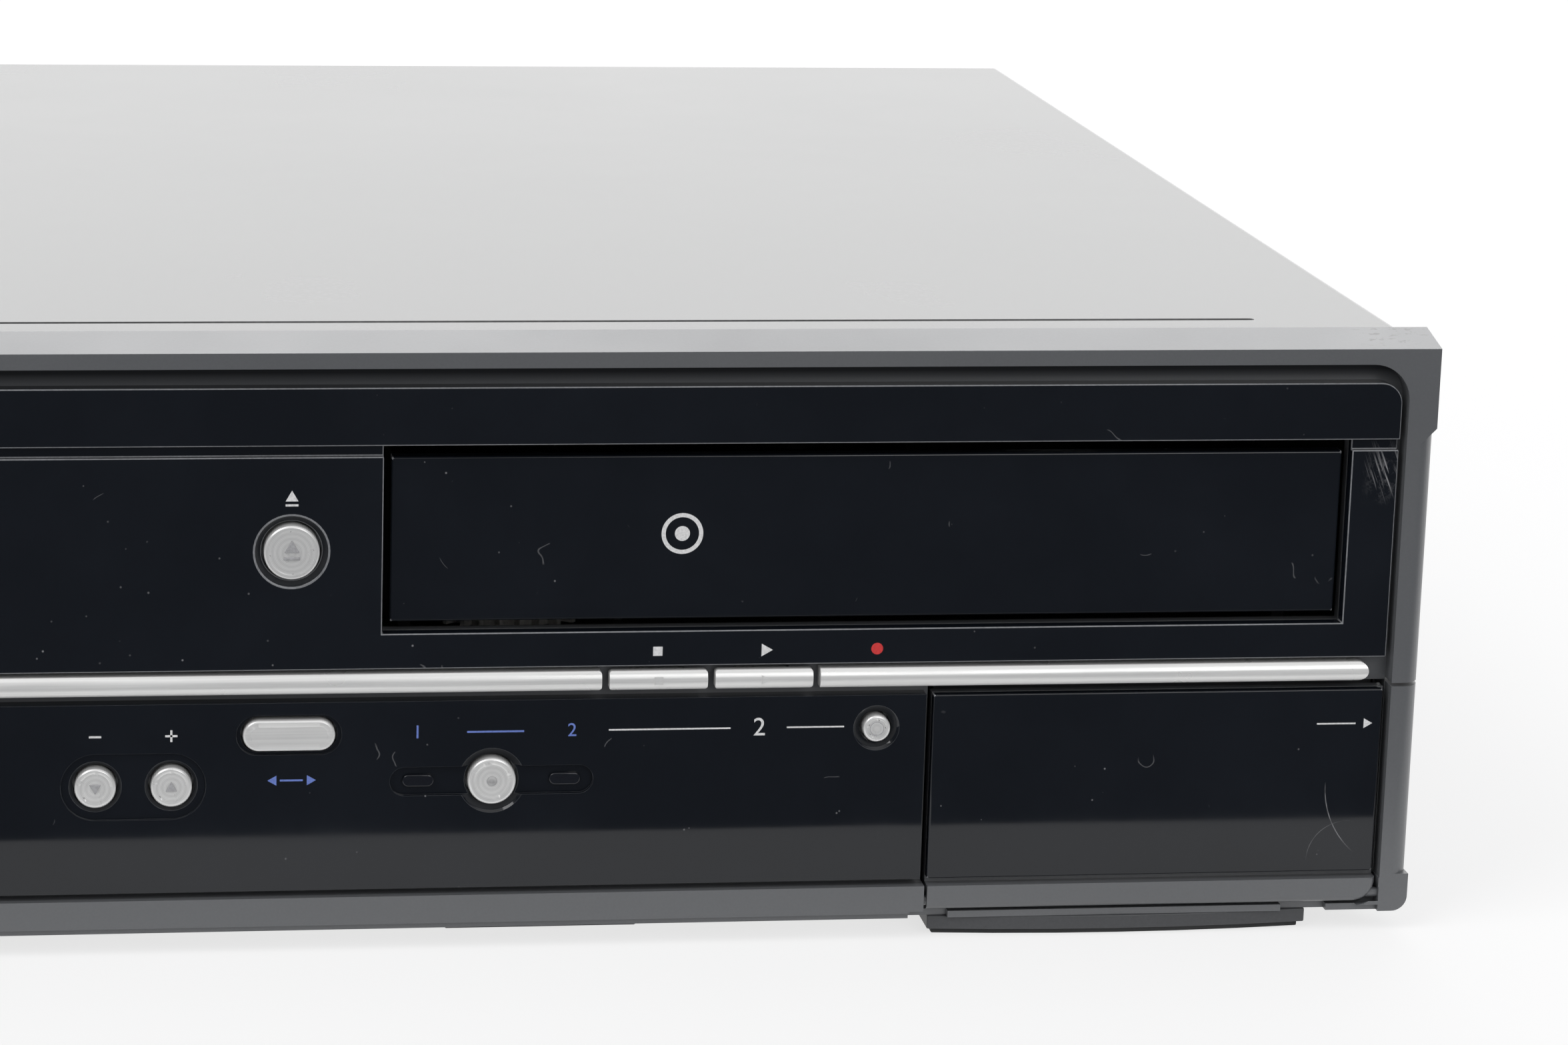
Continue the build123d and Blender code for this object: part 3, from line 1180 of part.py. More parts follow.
def loader_frame():
    """Open box that guides the tray, on its four legs, with the loading gear's axle."""
    half = TRAY_W / 2 + LOADER_SIDE_GAP
    outer = half + LOADER_WALL
    x0, x1 = DISC_X - outer, DISC_X + outer
    frame = slab(x0, x1, LOADER_D0, LOADER_D1, LOADER_Z0, LOADER_Z1)
    floor = LOADER_Z0 + LOADER_FLOOR
    inner = (DISC_X - half, DISC_X + half)
    top = LOADER_Z1 + OVER
    frame -= slab(*inner, LOADER_D0 + LOADER_WALL, LOADER_D1 - LOADER_WALL, floor, top)
    frame -= slab(*inner, 0, LOADER_D0 + LOADER_MOUTH, floor + LOADER_SILL, top)
    room_x, room_near, room_far = TRAVERSE_ROOM
    window = TRAVERSE_W / 2 + room_x
    opening = (TRAVERSE_D0 - room_near, TRAVERSE_D1 + room_far)
    frame -= slab(DISC_X - window, DISC_X + window, *opening, 0, floor + OVER)
    for side in (-1, 1):
        frame += loader_side(side, half, window)
    for x, depth in loader_posts():
        frame += rod_z(x, depth, LOADER_POST_R, PAN_TOP, LOADER_Z0)
    seat_r, seat_gap = AXLE_SEAT
    frame += rod_z(gear_x(), GEAR_D, GEAR_BORE, LOADER_Z0, AXLE_TOP)
    frame += rod_z(gear_x(), GEAR_D, GEAR_BORE + seat_r, LOADER_Z0, WHEEL_Z[0] - seat_gap)
    return frame - rod_z(motor_x(), GEAR_D, 2 * SHAFT_R, 0, floor + OVER)


def clamp_bridge():
    """Bridge across the loader that carries the clamper."""
    half = TRAY_W / 2 + LOADER_SIDE_GAP + LOADER_WALL
    low, high = LOADER_Z1, LOADER_Z1 + BRIDGE_T
    depths = (DISC_D - BRIDGE_W / 2, DISC_D + BRIDGE_W / 2)
    bridge = slab(DISC_X - half, DISC_X + half, *depths, low, high)
    return bridge - rod_z(DISC_X, DISC_D, CLAMP_HOLE_R, low - OVER, high + OVER)


def disc_clamper():
    """Clamper that rides on top of the disc."""
    top = LOADER_Z1 + BRIDGE_T + CLAMP_GAP
    plate = rod_z(DISC_X, DISC_D, CLAMP_R, top, top + CLAMP_T)
    return plate + rod_z(DISC_X, DISC_D, CLAMP_HUB_R, CLAMP_HUB_Z, top)


def rail_ends():
    """Front and back rail blocks: the depth that each one spans."""
    length = RAIL_BLOCK[1]
    before, after = RAIL_SPARE
    start = DISC_D + PICKUP_START - before
    end = DISC_D + PICKUP_START + PICKUP_L + PICKUP_TRAVEL + after
    return [(start, start + length), (end, end + length)]


def rail_blocks(plate, side):
    """Adds the two blocks that hold one pickup rail."""
    half, _, rise = RAIL_BLOCK
    x = DISC_X + side * RAIL_X
    for d0, d1 in rail_ends():
        plate += slab(x - half, x + half, d0, d1, TRAVERSE_Z + TRAVERSE_T, RAIL_Z + rise)
        plate -= rod_y(x, RAIL_Z, RAIL_R, d0 - OVER, d1 + OVER)
    return plate


def traverse_chassis():
    """Swinging plate with its rims, hinge pins and rail blocks."""
    half = TRAVERSE_W / 2
    top = TRAVERSE_Z + TRAVERSE_T
    plate = slab(DISC_X - half, DISC_X + half, TRAVERSE_D0, TRAVERSE_D1, TRAVERSE_Z, top)
    slot_x, slot_near, slot_far = TRAVERSE_SLOT
    slot = (DISC_D + slot_near, TRAVERSE_D1 - slot_far)
    plate -= slab(DISC_X - slot_x, DISC_X + slot_x, *slot, 0, top + OVER)
    rim_w, rim_h = TRAVERSE_RIM
    pin_in, pin_out = TRAVERSE_PIN
    for side in (-1, 1):
        edge = sorted((DISC_X + side * half, DISC_X + side * (half - rim_w)))
        plate += slab(*edge, TRAVERSE_D0, TRAVERSE_D1, TRAVERSE_Z, top + rim_h)
        pin = sorted((DISC_X + side * (half - pin_in), DISC_X + side * (half + pin_out)))
        plate += rod_x(TRAVERSE_AXIS_D, TRAVERSE_Z + AXIS_RISE, PIN_R, *pin)
        plate = rail_blocks(plate, side)
    return plate


def pickup_rails():
    """The two rods that the pickup slides on."""
    (d0, _), (_, d1) = rail_ends()
    return joined([rod_y(DISC_X + side * RAIL_X, RAIL_Z, RAIL_R, d0, d1) for side in (-1, 1)])


def optical_pickup():
    """Pickup sled with its lens block and lens."""
    d0 = DISC_D + PICKUP_START
    d1 = d0 + PICKUP_L
    low = TRAVERSE_Z + TRAVERSE_T + PICKUP_LIFT
    body = slab(DISC_X - PICKUP_HALF, DISC_X + PICKUP_HALF, d0, d1, low, TRAY_Z0 - PICKUP_DROP)
    half, near, far, rise = LENS_BLOCK
    body += slab(DISC_X - half, DISC_X + half, d0 + near, d0 + far, TRAY_Z0 - LENS_SINK, TRAY_Z0 + rise)
    body += rod_z(DISC_X, d0 + LENS_D, LENS_R, TRAY_Z0, TRAY_Z0 + LENS_H)
    for side in (-1, 1):
        body -= rod_y(DISC_X + side * RAIL_X, RAIL_Z, RAIL_R + PIN_FIT, d0 - OVER, d1 + OVER)
    return body


def spindle_motor():
    """Motor under the turntable, with its shaft."""
    top = TRAVERSE_Z + TRAVERSE_T
    can = rod_z(DISC_X, DISC_D, MOTOR_R, top, top + MOTOR_H)
    return can + rod_z(DISC_X, DISC_D, SHAFT_R, top + MOTOR_H, TRAY_Z1 - SHAFT_DROP)


def turntable():
    """Turntable with the hub that centres a disc."""
    base = TRAVERSE_Z + TRAVERSE_T + MOTOR_H + TURNTABLE_GAP
    low = WELL_FLOOR + TURNTABLE_LIFT
    high = low + TURNTABLE_T
    hub_top = TRAY_Z1 - HUB_DROP
    disc = rod_z(DISC_X, DISC_D, TURNTABLE_R, low, high)
    disc += rod_z(DISC_X, DISC_D, HUB_R, high, hub_top)
    disc += rod_z(DISC_X, DISC_D, HUB_NECK_R, base, low)
    return disc - rod_z(DISC_X, DISC_D, SHAFT_R + PIN_FIT, base - OVER, hub_top - HUB_CAP_T)


# ---- Tape deck ----

def holder_half():
    """Half the inner width of the cassette holder."""
    return CASSETTE_W / 2 + SLOT_CLEAR


def holder_bottom():
    return DOOR_BOTTOM + HOLDER_LIFT


def holder_top():
    return holder_bottom() + CASSETTE_H + SLOT_HEADROOM


def slider_pins():
    """Depths of the pins that carry the slider and the holder."""
    return [SLIDER_D0 + SLIDER_PIN_END, SLIDER_D1 - SLIDER_PIN_END]


def deck_side(side):
    """Upright side plate with the two level slots that guide the slider."""
    wall = sorted((TAPE_X + side * DECK_SIDE_X, TAPE_X + side * (DECK_SIDE_X + DECK_SIDE_T)))
    back = HOLDER_D1 + CARRIAGE_IN + DECK_SIDE_END
    plate = slab(*wall, HOLDER_D0, back, DECK_Z, DECK_SIDE_TOP)
    low = SLIDER_PIN_Z - PIN_R - PIN_FIT
    high = SLIDER_PIN_Z + PIN_R + PIN_FIT
    room = PIN_R + PIN_ROOM
    for depth in slider_pins():
        plate -= slab(wall[0] - OVER, wall[1] + OVER, depth - room, depth + CARRIAGE_IN + room, low, high)
    return plate


def deck_chassis():
    """Deck plate on its legs, with side plates, reel axles, guides and bearing posts."""
    half = DECK_SIDE_X + DECK_SIDE_T
    capstan_x = TAPE_X + CAPSTAN_DX
    deck = slab(TAPE_X - half, TAPE_X + half, DECK_D0, DECK_D1, DECK_Z, DECK_TOP)
    for side in (-1, 1):
        deck += deck_side(side)
    for x, depth in deck_posts():
        deck += rod_z(x, depth, DECK_POST_R, PAN_TOP, DECK_Z)
    deck -= rod_z(TAPE_X, DRUM_D, DRUM_HOLE_R, DECK_Z - OVER, DECK_TOP + OVER)
    bearing = (DECK_Z - CAPSTAN_POST_DROP, DECK_TOP + CAPSTAN_POST_H)
    deck += rod_z(capstan_x, CAPSTAN_D, CAPSTAN_POST_R, *bearing)
    deck -= rod_z(capstan_x, CAPSTAN_D, CAPSTAN_R + PIN_FIT, 0, HEIGHT)
    for side in (-1, 1):
        deck += rod_z(TAPE_X + side * REEL_SPACING / 2, REEL_D, REEL_AXLE_R, DECK_Z, DECK_TOP + REEL_AXLE_H)
        for dx, depth in GUIDE_POSTS:
            deck += rod_z(TAPE_X + side * dx, depth, GUIDE_R, DECK_Z, DECK_TOP + GUIDE_H)
    return deck + rod_z(TAPE_X + PINCH_DX, PINCH_D, PINCH_POST_R, DECK_Z, DECK_TOP + PINCH_POST_H)


def slider_side(side, inner, low, high):
    """Side of the slider with its upright slots and its pins."""
    wall = sorted((TAPE_X + side * inner, TAPE_X + side * (inner + SLIDER_T)))
    pin = sorted((TAPE_X + side * inner, TAPE_X + side * (DECK_SIDE_X + DECK_SIDE_T)))
    slot = (HOLDER_PIN_Z - HOLDER_DOWN - PIN_R - PIN_ROOM, HOLDER_PIN_Z + PIN_R + PIN_ROOM)
    room = PIN_R + PIN_FIT
    plate = slab(*wall, SLIDER_D0, SLIDER_D1, low, high)
    for depth in slider_pins():
        plate -= slab(wall[0] - OVER, wall[1] + OVER, depth - room, depth + room, *slot)
        plate += rod_x(depth, SLIDER_PIN_Z, PIN_R, *pin)
    return plate


def carriage_slider():
    """Bridge that draws the cassette in and lets it down."""
    inner = DECK_SIDE_X - SLIDER_GAP - SLIDER_T
    low, high = HOLDER_PIN_Z - HOLDER_DOWN - SLIDER_DROP, SLIDER_PIN_Z + SLIDER_RISE
    slider = slab(TAPE_X - inner, TAPE_X + inner, SLIDER_D0, SLIDER_D1, high - SLIDER_T, high)
    for side in (-1, 1):
        slider += slider_side(side, inner, low, high)
    return slider


def cassette_holder():
    """Open-fronted holder that takes the cassette, with its four pins."""
    inner = holder_half()
    outer = inner + HOLDER_T
    low, high = holder_bottom() - HOLDER_T, holder_top() + HOLDER_T
    front, back = HOLDER_D0 - OVER, HOLDER_D1 - HOLDER_T
    holder = slab(TAPE_X - outer, TAPE_X + outer, HOLDER_D0, HOLDER_D1, low, high)
    holder -= slab(TAPE_X - inner, TAPE_X + inner, front, back, holder_bottom(), holder_top())
    gap = inner - HOLDER_LIP
    holder -= slab(TAPE_X - gap, TAPE_X + gap, front, HOLDER_D1 + OVER, low - OVER, high - HOLDER_ROOF)
    for side in (-1, 1):
        pin = sorted((TAPE_X + side * inner, TAPE_X + side * (DECK_SIDE_X - HOLDER_PIN_GAP)))
        for depth in slider_pins():
            holder += rod_x(depth, HOLDER_PIN_Z, PIN_R, *pin)
    return holder


def tilted(shape):
    """Leans a piece of the drum about the middle of the deck plate's top."""
    centre = Pos(TAPE_X, Y_FRONT + DRUM_D, DECK_TOP)
    return centre * Rot(0, DRUM_TILT, 0) * centre.inverse() * shape


def drum_base():
    """Fixed lower drum on its foot, with the drum motor under the deck."""
    step_w, step_h = DRUM_FOOT
    drum = tilted(rod_z(TAPE_X, DRUM_D, DRUM_R, DECK_TOP + DRUM_LIFT, DRUM_SPLIT))
    drum += rod_z(TAPE_X, DRUM_D, DRUM_R + step_w, DECK_TOP, DECK_TOP + step_h)
    drum += rod_z(TAPE_X, DRUM_D, DRUM_MOTOR_R, DECK_TOP - DRUM_MOTOR_H, DECK_TOP)
    bore = (DECK_TOP + DRUM_BORE_Z, DRUM_SPLIT + DRUM_BORE_Z)
    return drum - tilted(rod_z(TAPE_X, DRUM_D, DRUM_SHAFT_R + PIN_FIT, *bore))


def head_drum():
    """Turning upper drum with its shaft."""
    rim, deep = DRUM_DISH
    drum = rod_z(TAPE_X, DRUM_D, DRUM_R, DRUM_SPLIT + DRUM_GAP, DRUM_TOP)
    drum -= rod_z(TAPE_X, DRUM_D, DRUM_R - rim, DRUM_TOP - deep, DRUM_TOP + OVER)
    return tilted(drum + rod_z(TAPE_X, DRUM_D, DRUM_SHAFT_R, DECK_TOP + DRUM_SHAFT_Z, DRUM_TOP))


def capstan():
    """Capstan shaft with its flywheel under the deck."""
    x = TAPE_X + CAPSTAN_DX
    low, high = FLYWHEEL_DROP
    shaft = rod_z(x, CAPSTAN_D, CAPSTAN_R, CAPSTAN_Z0, DRUM_TOP)
    return shaft + rod_z(x, CAPSTAN_D, FLYWHEEL_R, DECK_Z - low, DECK_Z - high)


def roller_centre():
    """Where the pinch roller stands at rest: X and depth."""
    dx, dd = CAPSTAN_DX - PINCH_DX, CAPSTAN_D - PINCH_D
    reach = math.hypot(dx, dd)
    touch = ROLLER_R + CAPSTAN_R + ROLLER_TOUCH
    spread = (PINCH_ARM ** 2 + reach ** 2 - touch ** 2) / (2 * PINCH_ARM * reach)
    angle = math.degrees(math.atan2(dd, dx) + math.acos(spread)) + PINCH_SWING
    away = math.radians(angle)
    return TAPE_X + PINCH_DX + PINCH_ARM * math.cos(away), PINCH_D + PINCH_ARM * math.sin(away)


def pinch_arm():
    """Arm with its hub and the pin that carries the roller."""
    x, depth = roller_centre()
    pivot = (TAPE_X + PINCH_DX, PINCH_D)
    mid = ((x + pivot[0]) / 2, (depth + pivot[1]) / 2)
    turn = math.degrees(math.atan2(depth - pivot[1], x - pivot[0]))
    beam = Pos(*mid) * Rot(0, 0, turn) * SlotOverall(PINCH_ARM + PINCH_ARM_W, PINCH_ARM_W)
    low, high = ARM_Z
    arm = plan(beam, low, high)
    arm += rod_z(*pivot, PINCH_HUB_R, low, high + PINCH_HUB_H)
    arm += rod_z(x, depth, ROLLER_PIN_R, low, high + ROLLER_PIN_H)
    return arm - rod_z(*pivot, PINCH_POST_R + PIN_FIT, 0, HEIGHT)


def pinch_roller():
    """Rubber roller on the arm's pin."""
    x, depth = roller_centre()
    roller = rod_z(x, depth, ROLLER_R, ARM_Z[1] + ROLLER_GAP, ARM_Z[1] + ROLLER_H)
    return roller - rod_z(x, depth, ROLLER_PIN_R + PIN_FIT, 0, HEIGHT)


def reel_table(side):
    """Reel table with its finned hub."""
    x = TAPE_X + side * REEL_SPACING / 2
    base = DECK_TOP + REEL_GAP
    across, high, out = REEL_FIN
    table = rod_z(x, REEL_D, REEL_R, base, base + REEL_T)
    table += rod_z(x, REEL_D, REEL_HUB_R, base, base + REEL_HUB_H)
    for step in range(REEL_FINS):
        turn = Rot(0, 0, 360 / REEL_FINS * step)
        table += Pos(x, Y_FRONT + REEL_D, 0) * turn * Pos(out, 0, base + high) * Box(across, across, high)
    bore = (base - OVER, base + REEL_AXLE_H)
    return table - rod_z(x, REEL_D, REEL_AXLE_R + PIN_FIT, *bore)


# ---- Boards and sockets ----

def main_board():
    """Main board with its packages and capacitors, cut round the loader's legs."""
    board = slab(MAIN_X0, MAIN_X1, MAIN_D0, MAIN_D1, PCB_Z, PCB_TOP)
    for x, depth in loader_posts():
        board -= rod_z(x, depth, LOADER_POST_R + POST_CLEAR, 0, LOADER_Z0)
    for x0, x1, d0, d1, height in MAIN_PARTS:
        board += slab(x0, x1, d0, d1, PCB_TOP, PCB_TOP + height)
    for step in range(CAPS):
        board += rod_z(CAP_X, CAP_D + step * CAP_PITCH, CAP_R, PCB_TOP, PCB_TOP + CAP_H)
    return board


def power_board():
    """Power board with its transformer, heat sink and capacitors."""
    board = slab(POWER_X0, POWER_X1, POWER_D0, POWER_D1, PCB_Z, PCB_TOP)
    for x0, x1, near, far, height in POWER_PARTS:
        board += slab(x0, x1, POWER_D0 + near, POWER_D0 + far, PCB_TOP, PCB_TOP + height)
    for x in POWER_CAP_XS:
        board += rod_z(x, POWER_D0 + POWER_CAP_D, POWER_CAP_R, PCB_TOP, PCB_TOP + POWER_CAP_H)
    return board


def phono_socket(x, z, face, back):
    """Phono socket: a shell with its insulator and contact hole."""
    out = math.copysign(OVER, face - back)
    shell = rod_y(x, z, PHONO_R, *sorted((face, back)))
    hole = rod_y(x, z, PHONO_HOLE_R, *sorted((face + out, face - out * PHONO_HOLE_L)))
    ring = rod_y(x, z, PHONO_R - PHONO_RIM, *sorted((face + out, face - out)))
    return shell - hole - ring


def rca_sockets():
    """Phono sockets at the rear and behind the flap, on their blocks."""
    half, length, rise = PHONO_BLOCK
    left, right, deep = FRONT_BLOCK
    top = PHONO_ZS[-1] + rise
    blocks = [slab(x - half, x + half, PANEL_D0 - length, PANEL_D0, PCB_TOP, top) for x in PHONO_XS]
    tail = PANEL_D0 - PHONO_TAIL
    sockets = [phono_socket(x, z, REAR_STAND, tail) for x in PHONO_XS for z in PHONO_ZS]
    span = (FRONT_PHONO_XS[0] - left, FRONT_PHONO_XS[-1] + right)
    backs = slab(*span, TUB_D1, TUB_D1 + deep, *FRONT_BLOCK_Z)
    face = TUB_D1 - TUB_WALL - FRONT_PHONO_L
    front = [phono_socket(x, FRONT_PHONO_Z, face, TUB_D1) for x in FRONT_PHONO_XS]
    return joined(blocks + sockets + [backs] + front)


def scart_nose(body, z):
    """Adds one television socket's nose and sinks its mouth and contacts."""
    x0, x1 = SCART
    ring_x, ring_z = SCART_RING
    block_x, block_z = SCART_BLOCK
    mouth = (BODY_DEPTH - SCART_MOUTH_L, BODY_DEPTH + SCART_STAND + OVER)
    nose = rect(x0, x1, z - SCART_NOSE, z + SCART_NOSE, SCART_CORNER)
    block = rect(x0 + block_x, x1 - block_x, z - block_z, z + block_z, SCART_BLOCK_CORNER)
    ring = rect(x0 + ring_x, x1 - ring_x, z - ring_z, z + ring_z, SCART_CORNER) - block
    body += panel(nose, PANEL_D0, BODY_DEPTH + SCART_STAND)
    body -= panel(ring, *mouth)
    for step in range(SCART_PINS):
        for row in (-SCART_PIN_ROW, SCART_PIN_ROW):
            body -= panel(around(x0 + SCART_PIN_X + step * SCART_PIN_PITCH, z + row, *SCART_PIN), *mouth)
    return body


def scart_sockets():
    """Two television sockets on one block."""
    body = slab(*SCART, PANEL_D0 - SCART_DEEP, PANEL_D0, PCB_TOP, SCART_ZS[-1] + SCART_RISE)
    for z in SCART_ZS:
        body = scart_nose(body, z)
    return body


def hdmi_socket():
    """Digital video socket: a shell with its tongue."""
    half_w, half_h = HDMI_W / 2, HDMI_H / 2
    wall_x, wall_z = HDMI_WALL
    tongue_x, tongue_z, root, set_back = HDMI_TONGUE
    back = PANEL_D0 - HDMI_L
    shell = slab(HDMI_X - half_w, HDMI_X + half_w, back, BODY_DEPTH, PCB_TOP, HDMI_Z + half_h)
    mouth = around(HDMI_X, HDMI_Z, half_w - wall_x, half_h - wall_z)
    hollow = panel(mouth, back + HDMI_FLOOR, BODY_DEPTH + OVER)
    tongue = panel(around(HDMI_X, HDMI_Z, tongue_x, tongue_z), back + root, BODY_DEPTH - set_back)
    return shell - hollow + tongue


def tuner_can():
    """Tuner can with its two aerial sockets."""
    middle = (TUNER_X0 + TUNER_X1) / 2
    can = slab(TUNER_X0, TUNER_X1, PANEL_D0 - TUNER_L, PANEL_D0, PCB_TOP, TUNER_TOP)
    for z in AERIAL_ZS:
        tube = rod_y(middle, z, AERIAL_R, PANEL_D0, REAR_STAND)
        tube -= rod_y(middle, z, AERIAL_BORE, PANEL_D0, REAR_STAND + OVER)
        can += tube + rod_y(middle, z, AERIAL_PIN_R, PANEL_D0, REAR_STAND - OVER)
    return can


def mains_inlet():
    """Two-pin mains inlet."""
    half = INLET_W / 2
    width, height, deep = INLET_MOUTH
    face = BODY_DEPTH + INLET_STAND
    body = slab(INLET_X - half, INLET_X + half, PANEL_D0 - INLET_L, face, PCB_TOP, INLET_Z + INLET_RISE)
    body -= panel(capsule(INLET_X, INLET_Z, width, height), BODY_DEPTH - deep, face + OVER)
    for side in (-1, 1):
        pin = (BODY_DEPTH - deep - OVER, BODY_DEPTH - OVER)
        body += rod_y(INLET_X + side * INLET_PIN_X, INLET_Z, INLET_PIN_R, *pin)
    return body


def main():
    os.makedirs("parts", exist_ok=True)
    makers = [
        chassis_pan, top_cover, rear_panel, cover_screws, feet, bezel_upper, bezel_lower,
        fascia_upper, fascia_lower, trim_bars, cassette_door, jack_flap, jack_flap_panel,
        front_jack_panel, display_window, dubbing_button, control_board, display_module,
        tray_front, disc_tray, loading_gear, motor_pinion, loading_motor, loader_frame,
        clamp_bridge, disc_clamper, traverse_chassis, pickup_rails, optical_pickup,
        spindle_motor, turntable, deck_chassis, carriage_slider, cassette_holder, drum_base,
        head_drum, capstan, pinch_arm, pinch_roller, main_board, power_board, rca_sockets,
        scart_sockets, hdmi_socket, tuner_can, mains_inlet,
    ]
    for maker in makers:
        save(maker.__name__, maker())
    for name, (x, z, radius) in round_buttons().items():
        save(name, round_button(x, z, radius))
    for name, span in key_spans().items():
        save(name, key_button(*span))
    save("supply_reel", reel_table(-1))
    save("takeup_reel", reel_table(1))


main()
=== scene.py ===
"""Looks of the disc and tape combination player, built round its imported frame."""

import logging
import math
from dataclasses import dataclass, field
from enum import Enum
from typing import Callable, Optional, Sequence

import bpy
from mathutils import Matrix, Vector


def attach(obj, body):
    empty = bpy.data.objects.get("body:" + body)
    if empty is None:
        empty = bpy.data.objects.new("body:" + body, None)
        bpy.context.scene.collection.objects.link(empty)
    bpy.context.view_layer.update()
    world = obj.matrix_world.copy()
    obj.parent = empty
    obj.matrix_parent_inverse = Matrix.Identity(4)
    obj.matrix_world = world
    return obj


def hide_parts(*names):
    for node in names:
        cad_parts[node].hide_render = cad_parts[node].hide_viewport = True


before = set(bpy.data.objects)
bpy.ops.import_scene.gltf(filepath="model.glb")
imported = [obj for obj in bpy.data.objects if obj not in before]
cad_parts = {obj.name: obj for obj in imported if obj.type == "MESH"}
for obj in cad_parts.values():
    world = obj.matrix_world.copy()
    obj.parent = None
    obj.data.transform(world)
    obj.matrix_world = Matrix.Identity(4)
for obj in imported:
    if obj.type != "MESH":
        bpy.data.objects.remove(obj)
log = logging.getLogger("player")

Point = tuple[float, float]
Colour = tuple[float, float, float]
FaceTest = Callable[[bpy.types.MeshPolygon], bool]

MM = 0.001
FRONT = -153.0  # the bezel's front plane, as Y in millimetres
FAR = 1.0  # beyond every piece, in metres
NEAR = 0.00001  # places closer than this are the same, in metres
SAME_PLANE = 0.00003  # faces closer than this lie in one plane, in metres
MERGE = 0.000002  # corners of a fixed part closer than this are merged, in metres
FLAT_ANGLE = 0.6  # faces that meet at less than this become one, in degrees
STRAIGHT = 0.99  # cosine from which a face counts as looking straight along an axis
BACKWARD = Vector((0, 1, 0))  # from the front into the machine
WHITE = (1.0, 1.0, 1.0, 1.0)


def place(x: float, depth: float, z: float) -> Vector:
    """Gives a point in metres.

    Args:
        x: Distance right of the middle, in millimetres.
        depth: Distance behind the bezel's front plane, in millimetres.
        z: Height above the floor, in millimetres.

    Returns:
        The point in the object's frame.
    """
    return Vector((x * MM, (FRONT + depth) * MM, z * MM))


def toned(colour: Colour, factor: float) -> Colour:
    """Gives a colour made darker or lighter by a factor."""
    return tuple(min(1.0, part * factor) for part in colour)


class Axis(Enum):
    """Direction that a round piece or a grain runs along."""

    X = 0
    Y = 1
    Z = 2


class Side(Enum):
    """Side of the machine, as the sign of X."""

    LEFT = -1
    RIGHT = 1


# ---------------------------------------------------------------- materials


